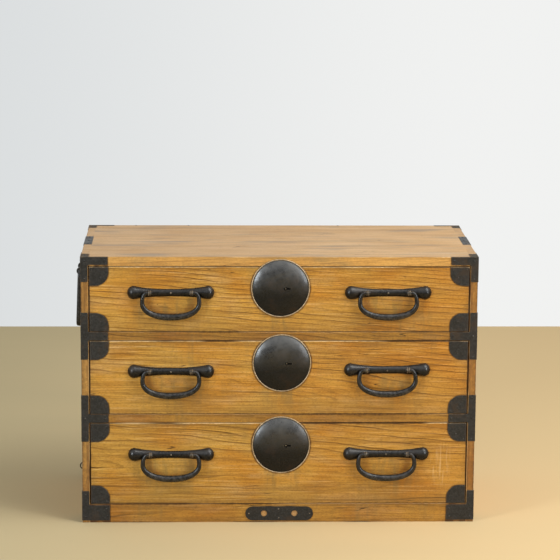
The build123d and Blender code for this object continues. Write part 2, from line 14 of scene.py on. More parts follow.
import bmesh
import bpy
import numpy as np
from mathutils import Matrix, Vector


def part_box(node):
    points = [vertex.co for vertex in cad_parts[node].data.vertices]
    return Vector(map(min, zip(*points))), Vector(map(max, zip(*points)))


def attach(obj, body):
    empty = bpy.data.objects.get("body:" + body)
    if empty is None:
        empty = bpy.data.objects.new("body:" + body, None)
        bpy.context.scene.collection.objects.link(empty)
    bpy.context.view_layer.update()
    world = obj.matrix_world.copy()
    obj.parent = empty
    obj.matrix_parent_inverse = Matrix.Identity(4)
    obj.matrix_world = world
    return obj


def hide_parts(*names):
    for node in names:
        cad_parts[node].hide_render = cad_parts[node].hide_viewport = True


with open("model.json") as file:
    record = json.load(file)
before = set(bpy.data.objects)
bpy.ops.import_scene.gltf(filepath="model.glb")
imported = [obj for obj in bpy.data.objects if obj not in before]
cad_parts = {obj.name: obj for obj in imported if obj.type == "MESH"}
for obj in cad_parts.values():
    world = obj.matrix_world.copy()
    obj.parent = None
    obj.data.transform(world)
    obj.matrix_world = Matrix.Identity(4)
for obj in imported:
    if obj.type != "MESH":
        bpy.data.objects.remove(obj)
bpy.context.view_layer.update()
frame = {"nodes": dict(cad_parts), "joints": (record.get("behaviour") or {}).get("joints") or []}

log = logging.getLogger("chest")

Vec3 = tuple[float, float, float]
Colour = tuple[float, float, float, float]
Socket = bpy.types.NodeSocket
Outline = list[tuple[float, float]]

MM = 0.001
SHEET = 1.2 * MM  # thickness of the sheet iron
FREE_CORNER = 3.2 * MM  # radius at a free corner of a carcass iron
FOLD = 0.12 * MM  # radius at a corner that lies on a fold
TAB_RISE = 0.3 * MM  # how far an iron on the top stands above it
GAP = 0.3 * MM  # play between a strip eye and what turns in it
INNER_EASE = 0.4 * MM  # softened arris of the plain inner boards
HEART_DRIFT = 0.37  # how far the heart of the tree moves sideways for each metre along it
HALO_WIDTH, HALO_DROP = 62 * MM, 54 * MM  # reach of the rubbed ring beside and below a bail's pivot

WHITE: Colour = (1.0, 1.0, 1.0, 1.0)
RUST: Colour = (0.30, 0.098, 0.014, 1.0)
SMEAR_AND_SHADE: Colour = (0.17, 0.125, 0.045, 1.0)
GRIME: Colour = (0.11, 0.052, 0.014, 1.0)
DISC_DIRT_AND_SHADOW: Colour = (0.075, 0.028, 0.008, 1.0)
LOW_DIRT_AND_SHADE: Colour = (0.25, 0.135, 0.032, 1.0)

FRONTAL = ((1, 0, 0), (0, 0, 1), (0, -1, 0))  # right, up and out of a face that looks to the front
NOWHERE = (0.0, 0.0, 0.0)


# Shader building -------------------------------------------------------------


class Net:
    """Adds nodes to one shader tree and joins them up."""

    def __init__(self, tree: bpy.types.NodeTree) -> None:
        """Start on a tree.

        Args:
            tree: The material's or the group's node tree.
        """
        self.tree = tree

    def put(self, socket: Socket, value: object) -> None:
        """Link a socket to another one, or set its own value.

        Args:
            socket: The input to fill.
            value: A socket to link from, or a plain value.
        """
        if isinstance(value, bpy.types.NodeSocket):
            self.tree.links.new(value, socket)
        else:
            socket.default_value = value

    def node(self, kind: str, inputs: dict[str | int, object] | None = None, **settings: object) -> bpy.types.Node:
        """Add one node.

        Args:
            kind: The node's type name.
            inputs: Values or sockets by input name or number.
            settings: Properties of the node itself.

        Returns:
            The new node.
        """
        made = self.tree.nodes.new(kind)
        for name, value in settings.items():
            setattr(made, name, value)
        for name, value in (inputs or {}).items():
            self.put(made.inputs[name], value)
        return made

    def use(self, group: bpy.types.NodeTree, inputs: dict[str, object]) -> bpy.types.NodeOutputs:
        """Add a group node and return its outputs."""
        return self.node("ShaderNodeGroup", inputs, node_tree=group).outputs

    def math(self, operation: str, first: object, second: object = 0.0, clamp: bool = False) -> Socket:
        """One Math node of two values; returns its result."""
        made = self.node("ShaderNodeMath", {0: first, 1: second}, operation=operation, use_clamp=clamp)
        return made.outputs[0]

    def mul(self, first: object, *others: object) -> Socket:
        """Values multiplied together."""
        for value in others:
            first = self.math("MULTIPLY", first, value)
        return first

    def add(self, first: object, second: object) -> Socket:
        """The sum of two values."""
        return self.math("ADD", first, second)

    def sub(self, first: object, second: object) -> Socket:
        """The first value less the second."""
        return self.math("SUBTRACT", first, second)

    def size(self, value: Socket) -> Socket:
        """A value without its sign."""
        return self.math("ABSOLUTE", value)

    def vector(self, operation: str, first: Socket, second: object = NOWHERE) -> Socket:
        """One Vector Math node; returns its vector, or the value of a length or a dot product."""
        made = self.node("ShaderNodeVectorMath", {0: first, 1: second}, operation=operation)
        return made.outputs["Value" if operation in ("LENGTH", "DOT_PRODUCT") else "Vector"]

    def part(self, vector: Socket, axis: int) -> Socket:
        """One coordinate of a vector."""
        return self.node("ShaderNodeSeparateXYZ", {0: vector}).outputs[axis]

    def noise(self, vector: Socket, scale: float | Vec3, detail: float = 2.0, rough: float = 0.5) -> Socket:
        """Smooth noise from 0 to 1 over a vector, at one scale or at one for each axis."""
        if isinstance(scale, tuple):
            vector, scale = self.vector("MULTIPLY", vector, scale), 1.0
        made = self.node("ShaderNodeTexNoise", {"Vector": vector, "Scale": scale, "Detail": detail, "Roughness": rough})
        return made.outputs["Fac"]

    def span(self, value: Socket, low: object, high: object, start: float = 0.0, end: float = 1.0) -> Socket:
        """A smooth step of a value from low to high, clamped at both ends."""
        made = self.node(
            "ShaderNodeMapRange",
            {"Value": value, "From Min": low, "From Max": high, "To Min": start, "To Max": end},
            interpolation_type="SMOOTHSTEP",
        )
        return made.outputs["Result"]

    def fall(self, value: Socket, low: object, high: object) -> Socket:
        """A smooth step down from 1 at low to 0 at high."""
        return self.span(value, low, high, 1.0, 0.0)

    def mix(self, share: object, first: object, second: object, blend: str = "MIX") -> Socket:
        """Two colours mixed by a share."""
        made = self.node("ShaderNodeMix", data_type="RGBA", blend_type=blend)
        for socket, value in zip((made.inputs[0], made.inputs[6], made.inputs[7]), (share, first, second)):
            self.put(socket, value)
        return made.outputs[2]


def shader_group(name: str, inputs: dict[str, float | None], outputs: tuple[str, ...]) -> tuple[Net, dict, dict]:
    """Start a shader node group that puts out plain values.

    Args:
        name: The group's name.
        inputs: Each number's default by name, or nothing for a vector.
        outputs: The names of the values.

    Returns:
        The net to build in, the input sockets by name and the output sockets by name.
    """
    tree = bpy.data.node_groups.new(name, "ShaderNodeTree")
    for label, value in inputs.items():
        kind = "NodeSocketVector" if value is None else "NodeSocketFloat"
        made = tree.interface.new_socket(label, in_out="INPUT", socket_type=kind)
        if value is not None:
            made.default_value = value
    for label in outputs:
        tree.interface.new_socket(label, in_out="OUTPUT", socket_type="NodeSocketFloat")
    into, out = tree.nodes.new("NodeGroupInput"), tree.nodes.new("NodeGroupOutput")
    return Net(tree), {label: into.outputs[label] for label in inputs}, {label: out.inputs[label] for label in outputs}


class Effects:
    """Shader node groups that several finishes share, each built once."""

    def __init__(self) -> None:
        """Build every group."""
        self.grain = self._grain()
        self.arris = self._arris()
        self.patina = self._patina()
        self.halo = self._halo()
        self.stain = self._stain()

    @staticmethod
    def _grain() -> bpy.types.NodeTree:
        """Grain of a sawn board whose first coordinate runs along the tree.

        Growth rings are the distance from a leaning, wandering axis below the face, divided
        by the ring spacing, and the dark late wood is the end of each ring's saw tooth. It
        fades where the count hardly changes across the board, since it would be a blotch.
        Fibres and bands are noise drawn out along the board.

        Returns:
            The group.
        """
        net, given, out = shader_group(
            "Board grain",
            {"Vector": None, "Heart": None, "Spacing": 0.006, "Wander": 3.0},
            ("Ring", "Line", "Streak", "Pale", "Band", "Fibre", "Check"),
        )
        place = given["Vector"]

        def count(spot: Socket) -> Socket:
            """How many rings lie between the axis and a spot."""
            offset = net.vector("SUBTRACT", spot, given["Heart"])
            along = net.part(offset, 0)
            lean = net.node("ShaderNodeCombineXYZ", {1: net.mul(along, 0.055), 2: net.mul(along, 0.02)}).outputs[0]
            across = net.vector("ADD", net.vector("MULTIPLY", offset, (0.0, 1.0, 1.0)), lean)
            drift = net.mul(net.sub(net.noise(spot, (2.0, 11.0, 11.0), 1.5), 0.5), given["Wander"])
            return net.add(net.math("DIVIDE", net.vector("LENGTH", across), given["Spacing"]), drift)

        whole = count(place)
        slope = net.size(net.sub(count(net.vector("ADD", place, (0.0, MM, 0.0))), whole))
        thin = net.span(slope, 0.010, 0.065, 0.06, 1.0)
        quick = net.noise(place, (9.0, 60.0, 60.0), 3.0, 0.6)
        rings = net.add(whole, net.mul(net.sub(quick, 0.5), 0.45))
        tooth = net.math("FRACT", rings)
        fade = net.span(net.noise(place, (5.0, 26.0, 26.0)), 0.35, 0.62, 0.15, 1.0)
        rise = net.math("POWER", net.span(tooth, 0.74, 0.95), 1.5)
        line = net.mul(rise, net.fall(tooth, 0.965, 1.0), net.mul(fade, thin))
        second = net.span(net.math("FRACT", net.mul(rings, 2.7)), 0.6, 0.95)
        rare_too = net.span(net.noise(place, (8.0, 34.0, 34.0)), 0.45, 0.65)
        thread = net.noise(place, (8.0, 360.0, 360.0), 3.0, 0.65)
        where = net.noise(place, (4.0, 19.0, 19.0), 1.0)
        split = net.size(net.sub(net.noise(place, (5.5, 85.0, 85.0), 1.0), 0.5))
        rare = net.span(net.noise(place, (7.0, 16.0, 16.0), 1.0), 0.60, 0.66)
        found = {
            "Ring": net.mul(tooth, thin),
            "Line": net.add(line, net.mul(second, rare_too, 0.45)),
            "Streak": net.mul(net.span(thread, 0.42, 0.68), net.span(where, 0.30, 0.60, 0.45, 1.0)),
            "Pale": net.fall(thread, 0.30, 0.44),
            "Band": net.noise(place, (3.2, 120.0, 120.0), 3.0, 0.6),
            "Fibre": net.noise(place, (30.0, 1300.0, 1300.0), 3.0, 0.65),
            "Check": net.mul(net.fall(split, 0.004, 0.012), rare),
        }
        for label, value in found.items():
            net.put(out[label], value)
        return net.tree

    @staticmethod
    def _arris() -> bpy.types.NodeTree:
        """How near a point on a box-shaped board is to the nearest arris.

        On a face one of the three distances to the box's planes is nothing, so the
        middle one of the three is the distance to the nearest arris.

        Returns:
            The group, which puts out the distance in metres.
        """
        net, given, out = shader_group(
            "Arris distance", {"Vector": None, "Centre": None, "Half Size": None}, ("Distance",)
        )
        size = net.vector("ABSOLUTE", net.vector("SUBTRACT", given["Vector"], given["Centre"]))
        depth = net.vector("ABSOLUTE", net.vector("SUBTRACT", given["Half Size"], size))
        parts = [net.part(depth, axis) for axis in range(3)]
        low = net.math("MINIMUM", parts[0], parts[1])
        high = net.math("MAXIMUM", parts[0], parts[1])
        net.put(out["Distance"], net.math("MAXIMUM", low, net.math("MINIMUM", high, parts[2])))
        return net.tree

    @staticmethod
    def _patina() -> bpy.types.NodeTree:
        """Blotches, fine mottling and scratches of old blackened iron.

        Returns:
            The group.
        """
        net, given, out = shader_group("Iron patina", {"Vector": None}, ("Blotch", "Mottle", "Scratch", "Hammer"))
        place = given["Vector"]
        net.put(out["Blotch"], net.noise(place, 34.0, 3.0, 0.6))
        net.put(out["Mottle"], net.noise(place, 260.0, 4.0, 0.7))
        net.put(out["Scratch"], net.span(net.noise(place, (260.0, 260.0, 1500.0)), 0.66, 0.74))
        net.put(out["Hammer"], net.noise(place, 75.0, 1.0, 0.4))
        return net.tree

    @staticmethod
    def _halo() -> bpy.types.NodeTree:
        """A soft ring of dirt where a hanging bail has rubbed a drawer front.

        The ring is the distance of a point from an ellipse about the bail's centre,
        and it is kept to the half below the pivot. Below is a patch under the bar, partly dirt and partly painted
        shade.

        Returns:
            The group.
        """
        net, given, out = shader_group(
            "Bail halo", {"Vector": None, "Centre": None, "Reach": None, "Width": 0.2}, ("Ring", "Below")
        )
        offset = net.vector("SUBTRACT", given["Vector"], given["Centre"])
        share = net.vector("MULTIPLY", net.vector("MULTIPLY", offset, (1.0, 0.0, 1.0)), given["Reach"])
        ring = net.fall(net.size(net.sub(net.vector("LENGTH", share), 1.0)), 0.0, given["Width"])
        height = net.part(offset, 2)
        net.put(out["Ring"], net.mul(ring, net.fall(height, -0.004, 0.006)))
        near = net.fall(net.size(net.part(offset, 0)), 0.055, 0.115)
        down = net.mul(net.span(height, -0.13, -0.03), net.fall(height, -0.02, 0.0))
        net.put(out["Below"], net.mul(near, down))
        return net.tree

    @staticmethod
    def _stain() -> bpy.types.NodeTree:
        """A dark mark in the wood round the iron at each corner of a board, partly a rust stain and partly painted
        contact shadow.

        The board is folded into one corner: its half size less the distance from its
        middle. There the iron is a box with rounded corners, and the stain fades with
        the distance from it.

        Returns:
            The group.
        """
        net, given, out = shader_group(
            "Iron stain",
            {"Vector": None, "Centre": None, "Half Size": None, "Iron": None, "Round": 0.003, "Width": 0.003},
            ("Mask",),
        )
        size = net.vector("ABSOLUTE", net.vector("SUBTRACT", given["Vector"], given["Centre"]))
        inside = net.vector("SUBTRACT", given["Half Size"], size)
        past = net.vector("MAXIMUM", net.vector("SUBTRACT", inside, given["Iron"]), NOWHERE)
        away = net.sub(net.vector("LENGTH", past), given["Round"])
        net.put(out["Mask"], net.fall(away, 0.0, given["Width"]))
        return net.tree


class Lay(Enum):
    """Which way a board's grain runs, as turns that bring it along the first coordinate."""

    ALONG_X_UPRIGHT = (math.pi / 2, 0.0, 0.0)
    ALONG_X_FLAT = (0.0, 0.0, 0.0)
    UPRIGHT = (0.0, math.pi / 2, 0.0)
    ALONG_Y_UPRIGHT = (math.pi / 2, 0.0, math.pi / 2)
    ALONG_Y_FLAT = (0.0, 0.0, math.pi / 2)


def start_material(name: str) -> tuple[bpy.types.Material, Net, bpy.types.Node, Socket]:
    """A material with a Principled BSDF and Object coordinates.

    Args:
        name: The material's name.

    Returns:
        The material, its net, its shader node and the Object coordinate socket.
    """
    material = bpy.data.materials.new(name)
    material.use_nodes = True
    net = Net(material.node_tree)
    shader = material.node_tree.nodes["Principled BSDF"]
    place = net.node("ShaderNodeTexCoord").outputs["Object"]
    return material, net, shader, place


@dataclass(frozen=True)
class Board:
    """One board's grain, and what has marked it.

    The heart is the heart of the tree in the board's turned coordinates, with a shift
    along it. The box is for wear on its arrises. Irons are the size and the corner
    radius of those on its corners, and a size of a metre doesn't count. Halos are the
    pivots of its bails, and the disc is the centre and radius of its lock disc. The
    crack runs along the grain and ends at its point, and the scuff is the middle of a
    patch of pale upright scratches.
    """

    label: str
    lay: Lay
    heart: Vec3
    box: tuple[Vector, Vector] | None = None
    worn_towards: Vec3 = NOWHERE
    irons: tuple[tuple[Vec3, float], ...] = ()
    halos: tuple[Vec3, ...] = ()
    disc: tuple[Vec3, float] | None = None
    tint: Colour = WHITE
    crack: Vec3 | None = None
    scuff: Vec3 | None = None


@dataclass(frozen=True)
class WoodFinish:
    """Old oiled or bare wood, in linear colours."""

    name: str
    base: Colour
    warm: Colour
    line: Colour
    worn: Colour
    spacing: float = 0.0065
    wander: float = 3.2
    line_depth: float = 0.75
    band_depth: float = 0.5
    pale_share: float = 0.15
    water: float = 0.0
    water_colour: Colour = (0.17, 0.13, 0.05, 1.0)
    smudge: float = 0.0
    smudge_colour: Colour = (0.16, 0.12, 0.09, 1.0)
    arris: float = 0.0
    seam: float = 0.0
    grime: float = 0.0
    low_dirt_and_shade: float = 0.0
    front_tint: Colour = WHITE
    right_tint_and_light: Colour = WHITE
    bare: Colour = (0.52, 0.37, 0.20, 1.0)
    end_share: float = 0.0
    end_colour: Colour = (0.56, 0.35, 0.165, 1.0)
    rough: float = 0.5
    soot_and_shade: Colour = (0.040, 0.013, 0.004, 1.0)

    def build(self, effects: Effects, board: Board) -> bpy.types.Material:
        """Make this finish for one board.

        Args:
            effects: The shared groups.
            board: The board.

        Returns:
            The material.
        """
        material, net, shader, place = start_material(f"{self.name}_{board.label}")
        shift = board.heart[0]
        turn = {"Vector": place, "Rotation": board.lay.value}
        turned = net.node("ShaderNodeMapping", turn, vector_type="TEXTURE").outputs[0]
        start = (shift, HEART_DRIFT * shift, 0.0)
        moved = net.node("ShaderNodeMapping", {"Vector": turned, "Location": start}).outputs[0]
        coat = WoodCoat(self, board, effects, net, place, moved)
        marks, colour = coat.grained()
        colour = coat.tinted(coat.watered(colour))
        bare = net.mix(0.7, colour, self.bare)
        colour = coat.scuffed(coat.cracked(colour))
        for centre in board.halos:
            colour = coat.rubbed(colour, centre)
        colour = coat.dirtied_and_shaded(coat.shaded(colour))
        rough = net.span(marks["Band"], 0.3, 0.7, self.rough - 0.06, self.rough + 0.08)
        if board.box is not None:
            colour, rough = coat.edged(colour, rough)
            colour = coat.stained_and_shaded(colour)
        if board.disc is not None:
            colour = net.mix(coat.ahead(0.002, 0.005), bare, colour)

        net.put(shader.inputs["Base Color"], colour)
        net.put(shader.inputs["Roughness"], rough)
        net.put(shader.inputs["Specular IOR Level"], 0.35)
        relief = net.add(net.mul(marks["Line"], -0.6), net.mul(marks["Fibre"], 0.5))
        relief = net.sub(relief, net.mul(marks["Check"], 2.0))
        bump = net.node("ShaderNodeBump", {"Strength": 0.35, "Distance": 0.0006, "Height": relief})
        net.put(shader.inputs["Normal"], bump.outputs[0])
        return material


@dataclass(frozen=True)
class WoodCoat:
    """The layers of one board's wood, each a colour laid over the one before.

    Every layer takes the colour so far and returns it with the layer on it. The place
    is in the part's frame, and moved is the same place along and across the tree.
    """

    finish: WoodFinish
    board: Board
    effects: Effects
    net: Net
    place: Socket
    moved: Socket

    def ahead(self, start: float, end: float) -> Socket:
        """1 on the board's front face, falling to 0 between two depths behind it."""
        front = self.board.box[0].y
        return self.net.fall(self.net.part(self.place, 1), front + start, front + end)

    def boxed(self) -> dict[str, object]:
        """The place and the board's box, as the shared groups take them."""
        low, high = self.board.box
        return {"Vector": self.place, "Centre": tuple((low + high) / 2), "Half Size": tuple((high - low) / 2)}

    def grained(self) -> tuple[bpy.types.NodeOutputs, Socket]:
        """The bare grain: its marks, and the colour that they give."""
        net, finish, moved = self.net, self.finish, self.moved
        shift, side, height = self.board.heart
        heart = (0.0, side + HEART_DRIFT * shift, height)
        given = {"Vector": moved, "Heart": heart, "Spacing": finish.spacing, "Wander": finish.wander}
        marks = net.use(self.effects.grain, given)

        patch = net.noise(moved, (6.0, 9.0, 9.0), 3.0, 0.55)
        colour = net.mix(net.span(patch, 0.38, 0.66), finish.base, finish.warm)
        faded = net.span(net.noise(moved, (9.0, 30.0, 30.0), 3.0, 0.6), 0.48, 0.75, 0.0, 0.22)
        colour = net.mix(faded, colour, finish.worn)
        speck = net.noise(moved, (220.0, 420.0, 420.0), 3.0, 0.7)
        dark = (finish.line[0] * 0.25, finish.line[1] * 0.2, finish.line[2] * 0.2, 1.0)
        spots = net.node("ShaderNodeTexVoronoi", {"Vector": self.place, "Scale": 26.0}).outputs
        chosen = net.node("ShaderNodeSeparateColor", {0: spots["Color"]}).outputs[0]
        dot = net.mul(net.fall(spots["Distance"], 0.015, 0.05), net.span(chosen, 0.72, 0.74))
        layers = (
            (net.mul(net.math("POWER", marks["Ring"], 2.0), 0.25 * finish.line_depth), finish.line),
            (net.mul(net.span(marks["Band"], 0.42, 0.72), finish.band_depth), finish.line),
            (net.mul(net.span(marks["Fibre"], 0.40, 0.75), 0.35), finish.line),
            (net.mul(marks["Streak"], 0.50 * finish.line_depth), finish.line),
            (net.mul(marks["Pale"], finish.pale_share), finish.worn),
            (net.math("MULTIPLY", marks["Line"], finish.line_depth, clamp=True), finish.line),
            (net.span(speck, 0.46, 0.70, 0.0, 0.38), finish.line),
            (net.mul(marks["Check"], 0.8), dark),
            (net.mul(dot, 0.7), dark),
        )
        for share, layer in layers:
            colour = net.mix(share, colour, layer)
        return marks, colour

    def watered(self, colour: Socket) -> Socket:
        """Dark runs of old water down the board, and smudges along it."""
        net, finish = self.net, self.finish
        if finish.water:
            run = net.noise(self.place, (64.0, 20.0, 9.0), 4.0, 0.65)
            where = net.noise(self.place, (7.0, 3.0, 9.0))
            stain = net.mul(net.span(run, 0.46, 0.72), net.span(where, 0.44, 0.66), finish.water)
            colour = net.mix(stain, colour, finish.water_colour)
        if finish.smudge:
            cloud = net.noise(self.moved, (4.5, 22.0, 22.0), 3.0, 0.6)
            colour = net.mix(net.mul(net.span(cloud, 0.52, 0.72), finish.smudge), colour, finish.smudge_colour)
        return colour

    def tinted(self, colour: Socket) -> Socket:
        """The board's own tint, and the one that grows towards the right: on the top that one is painted light,
        brighter to the right; on the fronts it is a darker tone.
        """
        net, right_tint_and_light = self.net, self.finish.right_tint_and_light
        colour = net.mix(1.0, colour, self.board.tint, "MULTIPLY")
        if right_tint_and_light == WHITE:
            return colour
        # On the top this is painted light, brighter towards the right; on the fronts it is a darker tone.
        return net.mix(net.span(net.part(self.place, 0), -0.12, 0.38), colour, right_tint_and_light, "MULTIPLY")

    def cracked(self, colour: Socket) -> Socket:
        """A fine crack along X that wavers, and narrows to its end."""
        if self.board.crack is None:
            return colour
        net = self.net
        offset = net.vector("SUBTRACT", self.place, self.board.crack)
        along = net.part(offset, 0)
        bend = net.mul(net.sub(net.noise(self.place, (30.0, 1.0, 1.0)), 0.5), 0.006)
        width = net.span(along, -0.05, 0.0, 0.0016, 0.0003)
        inside = net.sub(width, net.size(net.sub(net.part(offset, 2), bend)))
        gap = net.mul(net.span(inside, -0.0003, 0.0003), net.fall(along, -0.004, 0.0), 0.9)
        return net.mix(gap, colour, self.finish.soot_and_shade)

    def scuffed(self, colour: Socket) -> Socket:
        """A patch of pale upright scratches that fade away from its middle."""
        if self.board.scuff is None:
            return colour
        net = self.net
        offset = net.vector("SUBTRACT", self.place, self.board.scuff)
        reach = net.vector("LENGTH", net.vector("MULTIPLY", offset, (34.0, 0.0, 17.0)))
        lines = net.span(net.noise(self.place, (560.0, 20.0, 26.0), 3.0), 0.50, 0.66, 0.0, 0.24)
        return net.mix(net.mul(lines, net.fall(reach, 0.4, 1.1)), colour, self.finish.worn)

    def rubbed(self, colour: Socket, centre: Vec3) -> Socket:
        """Rust and dirt round one hanging bail, and a smear below its bar that is partly dirt and partly painted shade.
        """
        net = self.net
        reach = (1 / HALO_WIDTH, 0.0, 1 / HALO_DROP)
        halo = net.use(self.effects.halo, {"Vector": self.place, "Centre": centre, "Reach": reach, "Width": 0.28})
        patchy = net.span(net.noise(self.place, 30.0), 0.35, 0.65, 0.08, 0.62)
        colour = net.mix(net.mul(halo["Ring"], patchy), colour, RUST)
        runs = net.noise(self.place, (70.0, 20.0, 16.0), 4.0, 0.6)
        # The smear under the bar is partly dirt and partly painted shade.
        return net.mix(net.mul(net.span(runs, 0.42, 0.68, 0.0, 0.42), halo["Below"]), colour, SMEAR_AND_SHADE)

    def shaded(self, colour: Socket) -> Socket:
        """A dark ring round the lock disc, partly dirt and partly painted contact shadow, and smears below it, partly
        dirt and partly painted shade.
        """
        if self.board.disc is None:
            return colour
        net, (centre, radius) = self.net, self.board.disc
        offset = net.vector("SUBTRACT", self.place, centre)
        reach = net.vector("LENGTH", net.vector("MULTIPLY", offset, (1.0, 0.0, 1.0)))
        patchy = net.span(net.noise(self.place, 45.0), 0.3, 0.65, 0.3, 0.9)
        height = net.part(offset, 2)
        runs = net.noise(self.place, (70.0, 20.0, 14.0), 4.0, 0.6)
        under = net.mul(net.span(height, -0.135, -0.06), net.fall(height, -0.06, -0.04))
        beside = net.fall(net.size(net.part(offset, 0)), 0.02, 0.06)
        # The smear under the disc is partly dirt and partly painted shade.
        colour = net.mix(net.mul(under, beside, net.span(runs, 0.42, 0.66, 0.0, 0.55)), colour, SMEAR_AND_SHADE)
        # The dark ring just outside the disc is partly dirt and partly painted contact shadow.
        return net.mix(net.mul(net.fall(reach, radius, radius + 0.005), patchy), colour, DISC_DIRT_AND_SHADOW)

    def dirtied_and_shaded(self, colour: Socket) -> Socket:
        """Darkening low on the board, partly dirt and partly painted shade, and the tint of its front face."""
        net, finish, box = self.net, self.finish, self.board.box
        # Darker towards the bottom of the board: partly dirt and partly painted shade.
        if box is not None and finish.low_dirt_and_shade:
            low = net.fall(net.part(self.place, 2), box[0].z + 0.01, box[0].z + 0.07)
            patchy = net.span(net.noise(self.place, (7.0, 7.0, 24.0), 3.0), 0.3, 0.65, 0.25, 1.0)
            colour = net.mix(net.mul(low, patchy, finish.low_dirt_and_shade), colour, LOW_DIRT_AND_SHADE)
        if box is not None and finish.front_tint != WHITE:
            colour = net.mix(self.ahead(0.0005, 0.003), colour, finish.front_tint, "MULTIPLY")
        return colour

    def edged(self, colour: Socket, rough: Socket) -> tuple[Socket, Socket]:
        """Worn arrises: dark seams, partly dirt and partly painted shade in the gaps, pale rubbed places and a dirty
        band beside them.
        """
        net, finish, box, place = self.net, self.finish, self.board.box, self.place
        distance = net.use(self.effects.arris, self.boxed())["Distance"]
        ragged = net.noise(place, 110.0, 3.0, 0.65)
        grime = net.mul(net.span(distance, 0.0, 0.020, finish.grime, 0.0), net.span(ragged, 0.35, 0.6, 0.3, 1.0))
        colour = net.mix(grime, colour, GRIME)
        patches = net.span(net.noise(place, (4.5, 4.5, 7.0)), 0.42, 0.56)
        towards = self.board.worn_towards
        if any(towards):
            far = max(Vector(towards).dot(corner) for corner in box)
            patches = net.mul(patches, net.span(net.vector("DOT_PRODUCT", place, towards), far - 0.004, far - 0.0015))
        width = net.span(ragged, 0.3, 0.7, 0.0007, 0.0021)
        worn = net.mul(net.fall(distance, net.mul(width, 0.4), width), finish.arris, patches)
        # The dark seam along each arris is partly dirt and partly painted shade in the gap beside it.
        seam = net.mul(net.fall(distance, 0.0008, net.add(width, 0.0009)), finish.seam, net.sub(1.0, patches))
        colour = net.mix(seam, colour, finish.soot_and_shade)
        colour = net.mix(worn, colour, finish.worn)
        if finish.end_share:
            top = box[1].z
            end = net.span(net.part(place, 2), top - 0.0015, top - 0.0003, 0.0, finish.end_share)
            colour = net.mix(end, colour, finish.end_colour)
        return colour, net.add(rough, net.mul(worn, 0.15))

    def stained_and_shaded(self, colour: Socket) -> Socket:
        """Dark marks round the irons on the board's corners, partly rust stains and partly painted contact shadow."""
        net = self.net
        for size, radius in self.board.irons:
            iron = {"Iron": tuple(side - radius for side in size), "Round": radius, "Width": 0.0032}
            mask = net.use(self.effects.stain, self.boxed() | iron)["Mask"]
            patchy = net.span(net.noise(self.place, 60.0), 0.3, 0.6, 0.35, 0.85)
            # Each mark is partly a rust stain and partly painted contact shadow round the iron.
            colour = net.mix(net.mul(mask, patchy), colour, self.finish.soot_and_shade)
        return colour


@dataclass(frozen=True)
class IronFinish:
    """Blackened iron, in linear colours."""

    name: str
    base: Colour
    brown: Colour
    worn: Colour
    brown_share: float = 0.35
    wear_share: float = 0.7
    # The pale coat on the top of a dome: partly dust and partly painted sheen.
    dust_and_sheen: Colour = (0.062, 0.062, 0.060, 1.0)
    dust_and_sheen_share: float = 0.9
    mottle: float = 0.55
    metallic: float = 0.5
    specular: float = 0.5
    rough: float = 0.45
    hammer: float = 0.00025

    def build(self, effects: Effects, label: str = "", dome: tuple[float, float] | None = None) -> bpy.types.Material:
        """Make the finish. Edges are worn where the mesh's wear attribute says.

        Args:
            effects: The shared groups.
            label: What its name ends with, when it is for one piece alone.
            dome: Height of a dome's middle and its radius. Below the middle it reflects less, which is painted shade,
                and towards the top it is paler, partly dust and partly painted sheen.

        Returns:
            The material.
        """
        material, net, shader, place = start_material(self.name + label)
        marks = net.use(effects.patina, {"Vector": place})
        lighter = tuple(min(1.0, 2.6 * c) for c in self.base[:3]) + (1.0,)
        colour = net.mix(net.span(marks["Mottle"], 0.38, 0.72, 0.0, self.mottle), self.base, lighter)
        colour = net.mix(net.span(marks["Blotch"], 0.50, 0.72, 0.0, self.brown_share), colour, self.brown)
        wear = net.node("ShaderNodeAttribute", attribute_name="wear").outputs["Fac"]
        ragged = net.span(net.noise(place, 160.0, 3.0, 0.6), 0.38, 0.62)
        colour = net.mix(net.mul(wear, ragged, self.wear_share), colour, self.worn)
        colour = net.mix(net.mul(marks["Scratch"], 0.25), colour, self.worn)
        rough = net.span(marks["Blotch"], 0.35, 0.65, self.rough - 0.05, self.rough + 0.09)
        rough = net.add(rough, net.span(marks["Mottle"], 0.3, 0.7, -0.05, 0.05))
        metallic = self.metallic
        # Painted light on a dome: less reflection below the middle is painted shade, and the pale top is partly dust
        # and partly painted sheen.
        if dome is not None:
            (middle, radius), height = dome, net.part(place, 2)
            metallic = net.span(height, middle - 0.35 * radius, middle + 0.45 * radius, 0.78, self.metallic)
            dust_and_sheen_mask = net.span(height, middle + 0.20 * radius, middle + 0.80 * radius, 0.0, self.dust_and_sheen_share)
            dust_and_sheen_mask = net.mul(dust_and_sheen_mask, net.span(marks["Blotch"], 0.34, 0.56, 0.35, 1.0))
            colour = net.mix(dust_and_sheen_mask, colour, self.dust_and_sheen)
        net.put(shader.inputs["Base Color"], colour)
        net.put(shader.inputs["Roughness"], rough)
        net.put(shader.inputs["Metallic"], metallic)
        net.put(shader.inputs["Specular IOR Level"], self.specular)
        relief = net.add(marks["Hammer"], net.mul(marks["Mottle"], 0.12))
        bump = net.node("ShaderNodeBump", {"Strength": 0.8, "Distance": self.hammer, "Height": relief})
        net.put(shader.inputs["Normal"], bump.outputs[0])
        return material


